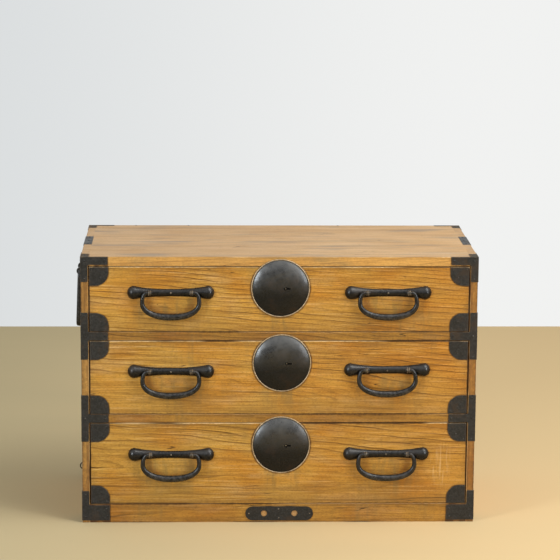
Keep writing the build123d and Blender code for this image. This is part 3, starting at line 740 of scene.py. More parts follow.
@dataclass(frozen=True)
class Finishes:
    """Every finish of the chest."""

    effects: Effects
    front: WoodFinish = WoodFinish(
        "front_wood", base=(0.67, 0.370, 0.070, 1.0), warm=(0.62, 0.280, 0.034, 1.0), line=(0.12, 0.046, 0.007, 1.0),
        worn=(0.88, 0.66, 0.36, 1.0), spacing=0.0085, line_depth=0.90, band_depth=0.20, pale_share=0.30, water=0.28,
        arris=0.95, seam=0.85, grime=0.25, low_dirt_and_shade=0.36, right_tint_and_light=(0.95, 0.86, 0.76, 1.0), rough=0.42,
    )
    rail: WoodFinish = WoodFinish(
        "rail_wood", base=(0.52, 0.260, 0.040, 1.0), warm=(0.43, 0.175, 0.020, 1.0), line=(0.09, 0.036, 0.006, 1.0),
        worn=(0.66, 0.42, 0.20, 1.0), spacing=0.006, line_depth=0.95, band_depth=0.34, water=0.3, arris=0.5, seam=0.85,
        grime=0.30, rough=0.48,
    )
    # Its tint towards the right is painted light: the top grows brighter to the right.
    top: WoodFinish = WoodFinish(
        "top_wood", base=(0.67, 0.425, 0.205, 1.0), warm=(0.62, 0.365, 0.150, 1.0), line=(0.25, 0.14, 0.065, 1.0),
        worn=(0.80, 0.58, 0.32, 1.0), spacing=0.008, wander=3.6, line_depth=0.60, band_depth=0.30,
        smudge=0.6, smudge_colour=(0.20, 0.165, 0.13, 1.0), arris=0.8, seam=0.3, grime=0.18,
        front_tint=(1.12, 0.98, 0.56, 1.0), right_tint_and_light=(1.09, 1.09, 1.07, 1.0), rough=0.55,
    )
    side: WoodFinish = WoodFinish(
        "side_wood", base=(0.56, 0.295, 0.070, 1.0), warm=(0.48, 0.210, 0.038, 1.0), line=(0.14, 0.062, 0.014, 1.0),
        worn=(0.66, 0.40, 0.16, 1.0), spacing=0.007, line_depth=0.75, band_depth=0.45, smudge=0.35,
        arris=0.75, seam=0.5, grime=0.55, end_share=0.7, rough=0.52,
    )
    inner: WoodFinish = WoodFinish(
        "inner_wood", base=(0.60, 0.44, 0.26, 1.0), warm=(0.52, 0.35, 0.18, 1.0), line=(0.26, 0.16, 0.08, 1.0),
        worn=(0.66, 0.5, 0.32, 1.0), spacing=0.006, line_depth=0.6, band_depth=0.4, smudge=0.3, rough=0.7,
    )
    plug: WoodFinish = WoodFinish(
        "plug_wood", base=(0.58, 0.34, 0.12, 1.0), warm=(0.50, 0.26, 0.08, 1.0), line=(0.3, 0.14, 0.05, 1.0),
        worn=(0.7, 0.5, 0.3, 1.0), spacing=0.002, wander=1.0, line_depth=0.6, rough=0.7,
    )
    plate: IronFinish = IronFinish(
        "sheet_iron", base=(0.0175, 0.0172, 0.0168, 1.0), brown=(0.052, 0.031, 0.016, 1.0),
        worn=(0.12, 0.09, 0.06, 1.0), brown_share=0.6, mottle=0.8, metallic=0.3, specular=0.45, rough=0.46,
    )
    forged: IronFinish = IronFinish(
        "forged_iron", base=(0.0085, 0.0085, 0.0090, 1.0), brown=(0.036, 0.024, 0.016, 1.0),
        worn=(0.12, 0.11, 0.10, 1.0), dust_and_sheen_share=0.35, mottle=0.25, metallic=0.55, specular=0.8, rough=0.30,
        hammer=0.00012,
    )
    disc: IronFinish = IronFinish(
        "disc_iron", base=(0.0095, 0.0098, 0.0105, 1.0), brown=(0.045, 0.026, 0.014, 1.0), worn=(0.10, 0.09, 0.08, 1.0),
        brown_share=0.30, metallic=0.12, specular=1.0, rough=0.34,
    )
    edge: IronFinish = IronFinish(
        "disc_edge", base=(0.30, 0.22, 0.13, 1.0), brown=(0.11, 0.055, 0.025, 1.0), worn=(0.60, 0.48, 0.33, 1.0),
        brown_share=0.7, metallic=0.6, rough=0.40,
    )
    tab: IronFinish = IronFinish(
        "worn_iron", base=(0.052, 0.044, 0.032, 1.0), brown=(0.16, 0.085, 0.040, 1.0), worn=(0.30, 0.19, 0.10, 1.0),
        brown_share=0.9, wear_share=0.9, metallic=0.0, specular=0.15, rough=0.75,
    )
    eye: IronFinish = IronFinish(
        "eye_iron", base=(0.055, 0.046, 0.036, 1.0), brown=(0.09, 0.05, 0.025, 1.0), worn=(0.40, 0.33, 0.24, 1.0),
        brown_share=0.4, metallic=0.5, rough=0.42,
    )

    def iron(self, finish: IronFinish, label: str = "", dome: tuple[float, float] | None = None) -> bpy.types.Material:
        """The material of an iron finish, built at its first use."""
        return bpy.data.materials.get(finish.name + label) or finish.build(self.effects, label, dome)


# Surfaces --------------------------------------------------------------------


class Shell:
    """Collects grids of points into one mesh, with a wear value at each point."""

    def __init__(self) -> None:
        """Start empty."""
        self.points: list[np.ndarray] = []
        self.wear: list[np.ndarray] = []
        self.faces: list[list[int]] = []
        self.count = 0

    def grid(self, points: np.ndarray, wear: np.ndarray | float = 0.0) -> np.ndarray:
        """Add a grid of points as a skin of four-sided faces whose last column joins the first.

        Args:
            points: Rows by columns by 3.
            wear: Wear at each point, from 0 to 1.

        Returns:
            The number of each point, rows by columns.
        """
        rows, columns = points.shape[:2]
        index = self.count + np.arange(rows * columns).reshape(rows, columns)
        right = np.roll(index, -1, axis=1)
        quads = np.stack([index[:-1], right[:-1], right[1:], index[1:]], axis=-1).reshape(-1, 4)
        self.faces += quads.tolist()
        self.points.append(points.reshape(-1, 3))
        self.wear.append(np.broadcast_to(np.asarray(wear, float), (rows, columns)).reshape(-1))
        self.count += rows * columns
        return index

    def cap(self, ring: np.ndarray) -> None:
        """Close a ring of points with one face."""
        self.faces.append([int(i) for i in ring])

    def tube(self, points: np.ndarray, wear: np.ndarray | float = 0.0) -> None:
        """Add a closed tube: a grid whose two end rings are capped."""
        index = self.grid(points, wear=wear)
        self.cap(index[0])
        self.cap(index[-1])

    def build(self, name: str, material: bpy.types.Material, sharp: float = 35.0) -> bpy.types.Object:
        """Make the mesh object, with doubles merged and faces pointing outwards.

        Args:
            name: The piece's name.
            material: Its finish.
            sharp: The angle in degrees over which an edge is shown sharp.

        Returns:
            The object, at the origin.
        """
        mesh = bpy.data.meshes.new(name)
        mesh.from_pydata(np.concatenate(self.points).tolist(), [], self.faces)
        wear = mesh.attributes.new("wear", "FLOAT", "POINT")
        wear.data.foreach_set("value", np.concatenate(self.wear).astype(np.float32))
        shape = bmesh.new()
        shape.from_mesh(mesh)
        bmesh.ops.remove_doubles(shape, verts=shape.verts, dist=1e-6)
        bmesh.ops.recalc_face_normals(shape, faces=shape.faces)
        shape.to_mesh(mesh)
        shape.free()
        mesh.polygons.foreach_set("use_smooth", np.ones(len(mesh.polygons), bool))
        mesh.set_sharp_from_angle(angle=math.radians(sharp))
        mesh.materials.append(material)
        made = bpy.data.objects.new(name, mesh)
        bpy.context.scene.collection.objects.link(made)
        log.info("%s: %d faces", name, len(mesh.polygons))
        return made


def unit(vectors: np.ndarray) -> np.ndarray:
    """Vectors scaled to a length of 1, over the last axis."""
    return vectors / np.maximum(np.linalg.norm(vectors, axis=-1, keepdims=True), 1e-12)


def full_turn(count: int) -> np.ndarray:
    """Even angles once round."""
    return np.linspace(0, 2 * np.pi, count, endpoint=False)


def unit_circle(turn: np.ndarray) -> np.ndarray:
    """Points at some angles on a circle of radius 1."""
    return np.stack([np.cos(turn), np.sin(turn)], axis=-1)


def spread(values: np.ndarray | list[float], count: int) -> np.ndarray:
    """One row for each value, with the value in every column."""
    return np.repeat(np.asarray(values)[:, None], count, axis=1)


def lengths(line: np.ndarray) -> np.ndarray:
    """How far along a line each of its points is."""
    return np.concatenate([[0], np.cumsum(np.linalg.norm(np.diff(line, axis=0), axis=1))])


def both_ways(half: np.ndarray, mirror: float | np.ndarray = 1.0) -> np.ndarray:
    """A row of values and then, but for the last, the same backwards, times a mirror."""
    return np.concatenate([half, half[-2::-1] * mirror])


def hinge(name: str) -> np.ndarray:
    """The middle of a joint's line."""
    return np.array(next(joint["pos_m"] for joint in frame["joints"] if joint["name"] == name))


def fit(made: bpy.types.Object, body: str, instead: str | None = None) -> None:
    """Let a new piece ride on a body.

    Args:
        made: The piece.
        body: The body.
        instead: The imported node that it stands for, if any.
    """
    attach(made, body)
    if instead is not None:
        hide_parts(instead)


def waves(values: np.ndarray, seed: int, count: int = 5, start: float = 1.0) -> np.ndarray:
    """Smooth unevenness between -1 and 1: a mean of sines of rising frequency and fixed random phase.

    Args:
        values: Where it is read, in radians of the slowest wave.
        seed: Which unevenness.
        count: How many sines.
        start: The slowest frequency.

    Returns:
        One value for each place.
    """
    draw = np.random.default_rng(seed)
    total = np.zeros_like(values)
    for i in range(count):
        total += np.sin(values * (start + i) * draw.uniform(0.8, 1.2) + draw.uniform(0, 2 * np.pi))
    return total / count


def swept(
    path: np.ndarray, across: Vec3, wide: np.ndarray, thick: np.ndarray, sides: int, power: float = 2.0
) -> np.ndarray:
    """A bar carried along a flat path.

    At each station the section is a superellipse: its width lies in the path's plane
    at right angles to the path, and its thickness along the given direction.

    Args:
        path: Stations by 3.
        across: The direction at right angles to the path's plane.
        wide: Half width at each station.
        thick: Half thickness at each station.
        sides: Points round the section.
        power: 2 for an ellipse, and more for a squarer section.

    Returns:
        Stations by sides by 3.
    """
    way = unit(np.gradient(path, axis=0))
    flat = np.asarray(across, float)
    outward = unit(np.cross(way, flat))
    turn = full_turn(sides)
    first = np.sign(np.cos(turn)) * np.abs(np.cos(turn)) ** (2 / power)
    second = np.sign(np.sin(turn)) * np.abs(np.sin(turn)) ** (2 / power)
    rings = path[:, None] + wide[:, None, None] * first[None, :, None] * outward[:, None]
    return rings + thick[:, None, None] * second[None, :, None] * flat


def rounded(corners: Outline, radii: list[float], spacing: float) -> np.ndarray:
    """A closed outline with an arc at each corner, in even steps.

    Each arc turns about the point that lies its radius from both edges, and its points
    are the two end spokes blended by sines.

    Args:
        corners: The corners, anticlockwise.
        radii: The radius at each corner.
        spacing: The step along the outline.

    Returns:
        Points by 2.
    """
    here = np.asarray(corners, float)
    radius = np.asarray(radii, float)[:, None]
    back = unit(np.roll(here, 1, axis=0) - here)
    ahead = unit(np.roll(here, -1, axis=0) - here)
    half = np.arccos(np.clip((back * ahead).sum(-1, keepdims=True), -1, 1)) / 2
    centre = here + unit(back + ahead) * radius / np.sin(half)
    start = here + back * radius / np.tan(half) - centre
    end = here + ahead * radius / np.tan(half) - centre
    turn = (np.pi - 2 * half)[:, None]
    share = np.linspace(0, 1, 9)[None, :, None]
    spokes = np.sin((1 - share) * turn) * start[:, None] + np.sin(share * turn) * end[:, None]
    arcs = centre[:, None] + spokes / np.sin(turn)
    line = arcs.reshape(-1, 2)
    closed = np.vstack([line, line[:1]])
    length = lengths(closed)
    steps = np.linspace(0, length[-1], max(24, int(length[-1] / spacing)), endpoint=False)
    steps = np.unique(np.concatenate([steps, length[:-1]]).round(7))
    keep = np.concatenate([[True], np.diff(steps) > 0.15 * MM])
    return np.stack([np.interp(steps[keep], length, closed[:, axis]) for axis in (0, 1)], axis=-1)


def turned(section: np.ndarray, middle: np.ndarray, axis: int, turn: np.ndarray) -> np.ndarray:
    """A section turned about a level axis.

    Args:
        section: The place along the axis and the distance from it, for each of its points.
        middle: A point of the axis.
        axis: 0 for an axis along X, and 1 for one along Y.
        turn: The angles.

    Returns:
        Section points by angles by 3.
    """
    points = np.empty((len(section), len(turn), 3))
    points[..., axis] = middle[axis] + section[:, :1]
    points[..., 1 - axis] = middle[1 - axis] + section[:, 1:] * np.sin(turn)
    points[..., 2] = middle[2] + section[:, 1:] * np.cos(turn)
    return points


@dataclass(frozen=True)
class Face:
    """A flat side of the chest that a plate lies on."""

    origin: Vec3
    right: Vec3
    up: Vec3
    out: Vec3

    def place(self, flat: np.ndarray, height: np.ndarray | float) -> np.ndarray:
        """Points of the face's own plane, raised off it, in the part's frame."""
        origin, right, up, out = (np.asarray(way) for way in (self.origin, self.right, self.up, self.out))
        return origin + flat[..., :1] * right + flat[..., 1:] * up + np.asarray(height, float)[..., None] * out


@dataclass(frozen=True)
class Plate:
    """A thin iron plate with softened edges."""

    face: Face
    corners: Outline
    radii: list[float]
    thickness: float = SHEET
    softness: float = 0.45 * MM
    uneven: float = 0.16 * MM
    spacing: float = 2.2 * MM

    def add_to(self, shell: Shell, seed: int) -> None:
        """Carry the edge's profile round the outline, and close the front.

        The profile rises from the wood, turns over a quarter circle and runs a little
        way in. Its steps lie inward from the outline along the outline's own normal.

        Args:
            shell: The mesh that takes the plate.
            seed: Which unevenness its outline has.
        """
        line = rounded(self.corners, self.radii, self.spacing)
        way = unit(np.roll(line, -1, axis=0) - np.roll(line, 1, axis=0))
        inward = np.stack([-way[:, 1], way[:, 0]], axis=-1)
        angle = full_turn(len(line))
        ripple = self.uneven * (0.5 + 0.5 * waves(angle, seed, 9, 5.0))
        turn = np.linspace(0, np.pi / 2, 4)
        inset = np.concatenate([[0.0], self.softness * (1 - np.cos(turn)), [3.2 * self.softness]])
        height = np.concatenate([[0.0], self.thickness - self.softness * (1 - np.sin(turn)), [self.thickness]])
        wear = np.array([0.5, 0.9, 1.0, 1.0, 0.8, 0.0])
        flat = line[None] + inward[None] * (inset[:, None, None] + ripple[None, :, None])
        flat[-1] = self._inner(line, inset[-1])
        rows = self.face.place(flat, spread(height, len(line)))
        index = shell.grid(rows, wear=spread(wear, len(line)))
        shell.cap(index[-1])
        shell.cap(index[0])

    def _inner(self, line: np.ndarray, depth: float) -> np.ndarray:
        """The outline inset by a depth, with sharp corners kept sharp.

        Every corner moves along its bisector, and its radius shrinks by the depth, or
        grows by it in a notch. Each point then goes to the nearest place on that line.

        Args:
            line: The outline.
            depth: How deep the inset line lies.

        Returns:
            One inset point for each point of the outline.
        """
        here = np.asarray(self.corners, float)
        back, ahead = unit(np.roll(here, 1, axis=0) - here), unit(np.roll(here, -1, axis=0) - here)
        bend = np.sign(back[:, 1] * ahead[:, 0] - back[:, 0] * ahead[:, 1])
        half = np.arccos(np.clip((back * ahead).sum(-1), -1, 1)) / 2
        moved = here + unit(back + ahead) * (bend * depth / np.sin(half))[:, None]
        ring = rounded(moved, np.maximum(np.asarray(self.radii) - bend * depth, 0.0), self.spacing)
        step = np.roll(ring, -1, axis=0) - ring
        offset = line[:, None] - ring[None]
        share = np.clip((offset * step).sum(-1) / np.maximum((step**2).sum(-1), 1e-18), 0, 1)
        place = ring[None] + share[..., None] * step[None]
        nearest = np.linalg.norm(line[:, None] - place, axis=-1).argmin(axis=1)
        return place[np.arange(len(line)), nearest]


@dataclass
class Nails:
    """Small domed nail heads, gathered into one mesh."""

    radius: float = 1.7 * MM
    height: float = 0.9 * MM
    sides: int = 10
    heads: list[tuple[Face, float, float, float]] = field(default_factory=list)

    def drive(self, face: Face, places: Outline, lift: float = SHEET) -> None:
        """Put nails on a face, at places in its own plane and a lift above it."""
        self.heads += [(face, u, v, lift) for u, v in places]

    def build(self, name: str, material: bpy.types.Material, body: str, seed: int) -> bpy.types.Object:
        """Make the heads: each is a low dome whose height falls as a quarter ellipse.

        Args:
            name: The piece's name.
            material: The finish.
            body: The body that they ride on.
            seed: Which small differences they have.

        Returns:
            The object.
        """
        draw = np.random.default_rng(seed)
        shell = Shell()
        turn = full_turn(self.sides)
        rise = np.linspace(0, 0.46 * np.pi, 4)
        for face, u, v, lift in self.heads:
            size = draw.uniform(0.85, 1.15)
            ring = np.cos(rise)[:, None, None] * unit_circle(turn) * self.radius * size
            flat = ring + np.array([u, v]) + draw.uniform(-0.4, 0.4, 2) * MM
            level = spread(lift + self.height * np.sin(rise), self.sides)
            index = shell.grid(face.place(flat, level), wear=spread(np.sin(rise), self.sides))
            shell.cap(index[-1])
            shell.cap(index[0])
        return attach(shell.build(name, material), body)


# Boards ----------------------------------------------------------------------


@dataclass(frozen=True)
class Boards:
    """The wooden boards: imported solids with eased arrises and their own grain."""

    finishes: Finishes
    ease: float = 0.7 * MM

    def dress(self, node: str, material: bpy.types.Material, ease: float | None = None) -> None:
        """Give a board its finish and soften its arrises.

        Args:
            node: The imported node.
            material: Its finish.
            ease: The width of the softened arris, or nothing for the usual one.
        """
        board = frame["nodes"][node]
        board.data.materials.clear()
        board.data.materials.append(material)
        weld = board.modifiers.new("weld", "WELD")
        weld.merge_threshold = 0.00001
        flat = board.modifiers.new("one_face", "DECIMATE")
        flat.decimate_type = "DISSOLVE"
        flat.angle_limit = math.radians(0.5)
        soft = board.modifiers.new("eased", "BEVEL")
        soft.width = self.ease if ease is None else ease
        soft.segments = 2
        soft.limit_method = "ANGLE"
        soft.angle_limit = math.radians(35)
        soft.harden_normals = False
        log.info("%s dressed", node)

    def finish(self) -> None:
        """Dress every board of the carcass and of the drawers."""
        f = self.finishes
        irons, corner = CarcassIrons(f), 3 * MM
        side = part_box("right_side_board")[1].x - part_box("base_rail")[1].x
        foot, t_arm = (((length - side, 1.0, 1.0), corner) for length in (irons.foot_length, irons.t_arm))
        tab = ((irons.tab_width, irons.tab_length, 2 * MM), corner)
        arm = ((irons.arm_length, 2 * MM, irons.arm_height), corner)
        upward = (0.0, 0.0, 1.0)
        plain = {
            "base_rail": (f.rail, Lay.ALONG_X_UPRIGHT, (0.3, 0.05, 0.06), NOWHERE, (foot,)),
            "lower_rail": (f.rail, Lay.ALONG_X_UPRIGHT, (1.1, 0.30, 0.05), NOWHERE, (t_arm,)),
            "upper_rail": (f.rail, Lay.ALONG_X_UPRIGHT, (2.3, 0.47, 0.06), NOWHERE, (t_arm,)),
            "top_board": (f.top, Lay.ALONG_X_FLAT, (0.7, 0.03, 0.50), upward, (tab, arm)),
            "left_side_board": (f.side, Lay.UPRIGHT, (1.7, -0.06, 0.38), (1.0, 0.0, 0.0), ()),
            "right_side_board": (f.side, Lay.UPRIGHT, (2.9, 0.05, -0.36), (-1.0, 0.0, 0.0), ()),
        }
        for node, (finish, lay, heart, towards, stains_and_shadows) in plain.items():
            tint = (0.90, 0.80, 0.66, 1.0) if node == "right_side_board" else WHITE
            self.dress(node, finish.build(f.effects, Board(node, lay, heart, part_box(node), towards, stains_and_shadows, tint=tint)))
        for seed, node in enumerate(("base_board", "base_bearers", "dust_boards", "drawer_stops")):
            board = Board(node, Lay.ALONG_X_FLAT, (0.9 + seed, 0.08, -0.05))
            self.dress(node, f.inner.build(f.effects, board), INNER_EASE)
        back = Board("back_boards", Lay.ALONG_X_UPRIGHT, (3.1, 0.3, 0.12))
        self.dress("back_boards", f.inner.build(f.effects, back), 0.5 * MM)
        plugs = Board("base_plugs", Lay.ALONG_Y_FLAT, (0.2, 0.004, 0.02))
        self.dress("base_plugs", f.plug.build(f.effects, plugs), 0.2 * MM)


@dataclass(frozen=True)
class LockDisc:
    """A domed lock disc with a pale edge, round a pin-and-slot keyhole."""

    drawer: str
    finishes: Finishes
    seed: int
    radius: float = 66.8 * MM
    dome_radius: float = 62.5 * MM
    dome_height: float = 11.0 * MM
    thickness: float = 1.5 * MM
    fullness: float = 3.6
    hole_offset: float = 11.0 * MM
    hole_radius: float = 4.0 * MM
    slot_length: float = 12.0 * MM
    slot_half: float = 1.9 * MM
    edge_radius: float = 1.3 * MM
    columns: int = 180
    rows: int = 46

    def _keyhole(self) -> tuple[np.ndarray, np.ndarray]:
        """The keyhole's outline about its own centre, and the angle of each point.

        At an angle the outline is the circle's radius, or in the slot's direction the
        distance at which that ray meets the slot's side or its end.
        """
        turn = full_turn(self.columns)
        side = self.slot_half / np.maximum(np.abs(np.sin(turn)), 1e-6)
        end = self.slot_length / np.maximum(np.cos(turn), 1e-6)
        slot = np.where(np.cos(turn) > 0, np.minimum(side, end), 0.0)
        reach = np.maximum(self.hole_radius, slot)
        return reach[:, None] * unit_circle(turn), turn

    def _height(self, flat: np.ndarray) -> np.ndarray:
        """The dome's height over a point: it falls with a power of the distance from the middle."""
        share = np.clip(np.linalg.norm(flat, axis=-1) / self.dome_radius, 0, 1)
        drop = self.thickness + (self.dome_height - self.thickness) * (1 - share**self.fullness)
        u, v = flat[..., 0], flat[..., 1]
        dent = waves(u * 90 + v * 60, self.seed, 4) + waves(v * 110 - u * 40, self.seed + 9, 4)
        return drop + 0.16 * MM * dent * (1 - share**6)

    def build(self) -> None:
        """Build the disc from the keyhole out to its foot, and the pale edge round it.

        Each ray runs from the keyhole's outline to the dome's circle, so the hole is a
        true opening. Past a narrow valley and the foot, the surface comes back below at the
        sheet's thickness, and closes at the keyhole.
        """
        low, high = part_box(f"{self.drawer}_lock_plate")
        face = Face(((low.x + high.x) / 2, high.y, (low.z + high.z) / 2), *FRONTAL)
        hole, turn = self._keyhole()
        hole = hole + np.array([self.hole_offset, 0.0])
        circle = unit_circle(turn)
        rim = self.dome_radius * circle
        share = (np.linspace(0, 1, self.rows) ** 0.85)[:, None, None]
        flat = hole[None] * (1 - share) + rim[None] * share
        height = self._height(flat)
        reach = np.array([self.radius - 3.0 * MM, self.radius - 1.2 * MM, self.radius - 1.2 * MM, self.dome_radius])
        foot = reach[:, None, None] * circle[None]
        foot_height = spread([1.25 * MM, 1.1 * MM, 0.0, 0.0], self.columns)
        back = (np.linspace(1, 0, 14) ** 0.85)[:, None, None]
        under = hole[None] * (1 - back) + rim[None] * back * (1 - self.thickness / self.dome_radius)
        under_height = np.maximum(self._height(under) - self.thickness, 0.0)
        rows = np.concatenate([flat, foot, under, flat[:1]])
        lifts = np.concatenate([height, foot_height, under_height, height[:1]])
        wear = np.zeros(lifts.shape)
        wear[0] = wear[-1] = 0.8
        shell = Shell()
        shell.grid(face.place(rows, lifts), wear=wear)
        # The disc's finish is painted shade in its lower half, and a pale top that is partly dust and partly painted
        # sheen.
        blackened_and_shaded = self.finishes.iron(self.finishes.disc, f"_{self.drawer}", (float(face.origin[2]), self.radius))
        disc = shell.build(f"{self.drawer}_lock_disc", blackened_and_shaded, 50.0)
        fit(disc, f"{self.drawer}_drawer", f"{self.drawer}_lock_plate")
        self._edge(face, circle)
        self._post(face)

    def _post(self, face: Face) -> None:
        """The tip of the key post, a short round pin in the middle of the keyhole's circle.

        Args:
            face: The drawer's face.
        """
        around = full_turn(20)
        radius = np.array([1.7, 1.7, 1.4]) * MM
        level = self.dome_height - np.array([9.0, 1.9, 1.6]) * MM
        shell = Shell()
        flat = np.array([self.hole_offset, 0.0]) + radius[::-1, None, None] * unit_circle(around)[None, ::-1]
        shell.tube(face.place(flat, spread(level[::-1], 20)), wear=1.0)
        tip = shell.build(f"{self.drawer}_key_post_tip", self.finishes.iron(self.finishes.eye))
        fit(tip, f"{self.drawer}_drawer")

    def _edge(self, face: Face, circle: np.ndarray) -> None:
        """The pale edge: a round bead turned about the disc's axis.

        Args:
            face: The drawer's face.
            circle: Points of a circle of radius 1.
        """
        shell = Shell()
        around = full_turn(14)
        swell = 1 + 0.12 * waves(full_turn(len(circle)), self.seed + 3, 7, 3.0)
        reach = spread(self.radius - self.edge_radius + self.edge_radius * np.cos(around), len(circle))
        level = self.edge_radius + self.edge_radius * np.sin(around)[:, None] * swell[None]
        rings = face.place(reach[..., None] * circle[None], np.maximum(level, 0.0))
        wear = np.clip(np.sin(np.append(around, 0.0)), 0, 1)
        shell.grid(np.concatenate([rings, rings[:1]]), wear=spread(wear, len(circle)))
        bead = shell.build(f"{self.drawer}_lock_edge", self.finishes.iron(self.finishes.edge), 60.0)
        fit(bead, f"{self.drawer}_drawer")


@dataclass(frozen=True)
class DrawerHandle:
    """A dumb-bell bar with two strip eyes and the bail that hangs in them."""

    drawer: str
    hand: str
    finishes: Finishes
    seed: int
    half_length: float = 98.5 * MM
    bulb_place: float = 84.0 * MM
    bulb_radius: float = 15.8 * MM
    waist_radius: float = 8.9 * MM
    swell: float = 2.7
    axis_depth: float = 3.0 * MM
    axis_drop: float = 1.8 * MM
    eye_place: float = 47.5 * MM
    eye_inner: float = 3.8 * MM
    strip: float = 2.2 * MM
    strip_width: float = 6.0 * MM
    journal: float = 3.4 * MM
    collar: float = 4.8 * MM
    half_width: float = 64.5 * MM
    shoulder_drop: float = 21.6 * MM
    bowl_depth: float = 34.2 * MM
    bowl_power: float = 2.25
    end_radius: float = 4.3 * MM
    grip_radius: float = 7.6 * MM

    def pivot(self) -> np.ndarray:
        """The middle of the bail's hinge line."""
        return hinge(f"{self.drawer}_{self.hand}_bail_swing")

    def bar(self, shell: Shell) -> None:
        """Add the bar: a circle carried along X whose radius swells to a bulb at each end.

        The radius grows from the waist with a power of the distance along the bar, and
        past the bulb it falls as a quarter ellipse. The back is cut flat at the drawer.

        Args:
            shell: The mesh that takes it.
        """
        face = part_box(f"{self.drawer}_drawer_front")[0].y
        centre = self.pivot()
        crown = np.linspace(-1, 1, 61) * self.bulb_place
        turn = np.linspace(0, np.pi / 2, 14)[1:]
        tip = self.bulb_place + (self.half_length - self.bulb_place) * np.sin(turn)
        reach = np.concatenate([-tip[::-1], crown, tip])
        growth = np.abs(crown / self.bulb_place) ** self.swell
        body = self.waist_radius + (self.bulb_radius - self.waist_radius) * growth
        end = np.maximum(self.bulb_radius * np.cos(turn), 0.15 * MM)
        radius = np.concatenate([end[::-1], body, end])
        around = full_turn(40)
        flaw = 1 + 0.010 * waves(reach[:, None] * 55 + np.sin(around)[None] * 2, self.seed, 5)
        ring = radius[:, None] * flaw
        points = np.empty((len(reach), len(around), 3))
        points[..., 0] = centre[0] + reach[:, None]
        points[..., 1] = np.minimum(face + self.axis_depth + ring * np.sin(around), face)
        points[..., 2] = centre[2] - self.axis_drop + ring * np.cos(around)
        shell.tube(points, wear=0.15)

    def eyes(self, shell: Shell) -> None:
        """Add both eyes: flat strip with two raised edges, turned about the hinge line.

        Args:
            shell: The mesh that takes them.
        """
        centre = self.pivot()
        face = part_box(f"{self.drawer}_drawer_front")[0].y
        turn = full_turn(36)
        half = self.strip_width / 2
        outside = self.eye_inner + self.strip
        across = np.array([-1.0, -1.0, -0.86, -0.55, -0.30, 0.30, 0.55, 0.86, 1.0, 1.0, -1.0]) * half
        lip = np.array([0.7, 0.0, 0.0, 0.75, 0.75, 0.0, 0.0, 0.7]) * MM
        sunk = np.array([self.strip, *lip, self.strip, self.strip])
        section = np.stack([across, outside - sunk], axis=-1)
        wear = spread([0.0, 0.7, 1.0, 1.0, 0.0, 0.0, 1.0, 1.0, 0.7, 0.0, 0.0], len(turn))
        depths = np.linspace(centre[1] + self.eye_inner + 0.3 * MM, face + 8 * MM, 4)
        for side in (-1, 1):
            middle = centre + [side * self.eye_place, 0.0, 0.0]
            shell.grid(turned(section, middle, 0, turn), wear=wear)
            stem = np.array([(middle[0], depth, middle[2]) for depth in depths])
            shell.tube(swept(stem, (1, 0, 0), np.full(4, self.strip), np.full(4, half * 0.96), 16, 6.0))

    def bail(self) -> None:
        """Forge the bail: one round bar from journal to journal.

        Each end is a journal with a collar on both sides of its eye. From the outer
        collar the path is a quarter ellipse down to the side, half an ellipse across
        below, and the same again. The lower curve is a superellipse a little fuller than
        an ellipse, and the radius swells to the middle of the grip.
        """
        centre = self.pivot()
        start = self.eye_place + self.strip_width / 2 + GAP
        neck = start + 2.9 * MM
        tip = self.eye_place - self.strip_width / 2 - 3.0 * MM
        collar_in = self.eye_place - self.strip_width / 2 - 0.4 * MM
        stations = (
            (tip, 3.9 * MM), (tip + 0.3 * MM, 4.4 * MM), (collar_in - 0.3 * MM, 4.4 * MM), (collar_in, 4.1 * MM),
            (collar_in + 0.05 * MM, self.journal), (start, self.journal), (start + 0.05 * MM, 4.4 * MM),
            (start + 0.4 * MM, self.collar), (start + 1.8 * MM, self.collar), (start + 2.2 * MM, 4.1 * MM),
        )
        pin_x, pin_r = np.array(stations).T
        turn = np.linspace(np.pi / 2, 0, 16)
        shoulder = unit_circle(turn) * [self.half_width - neck, self.shoulder_drop] + [neck, -self.shoulder_drop]
        dip = np.linspace(0, -np.pi / 2, 30)[1:]
        full = 2 / self.bowl_power
        bowl = np.abs(unit_circle(dip)) ** full * [self.half_width, -self.bowl_depth] - [0.0, self.shoulder_drop]
        stock = np.concatenate([shoulder, bowl])
        share = lengths(stock) / lengths(stock)[-1]
        stock_r = self.end_radius + (self.grip_radius - self.end_radius) * np.sin(share * np.pi / 2) ** 1.4
        half = np.concatenate([np.stack([pin_x, 0 * pin_x], axis=-1), stock])
        line, radius = both_ways(half, np.array([-1, 1])), both_ways(np.concatenate([pin_r, stock_r]))
        flaw = 1 + 0.014 * waves(np.linspace(0, 9, len(radius)), self.seed + 5, 6)
        path = np.stack([line[:, 0] + centre[0], np.full(len(line), centre[1]), line[:, 1] + centre[2]], axis=-1)
        shell = Shell()
        wear = np.where(np.abs(line[:, 1]) < 1e-9, 0.8, 0.15 + 0.35 * (line[:, 1] < -0.046))
        shell.tube(swept(path, (0, 1, 0), radius * flaw, radius * flaw, 28), wear=spread(wear, 28))
        name = f"{self.drawer}_{self.hand}_bail"
        fit(shell.build(f"{name}_forged", self.finishes.iron(self.finishes.forged)), name, name)


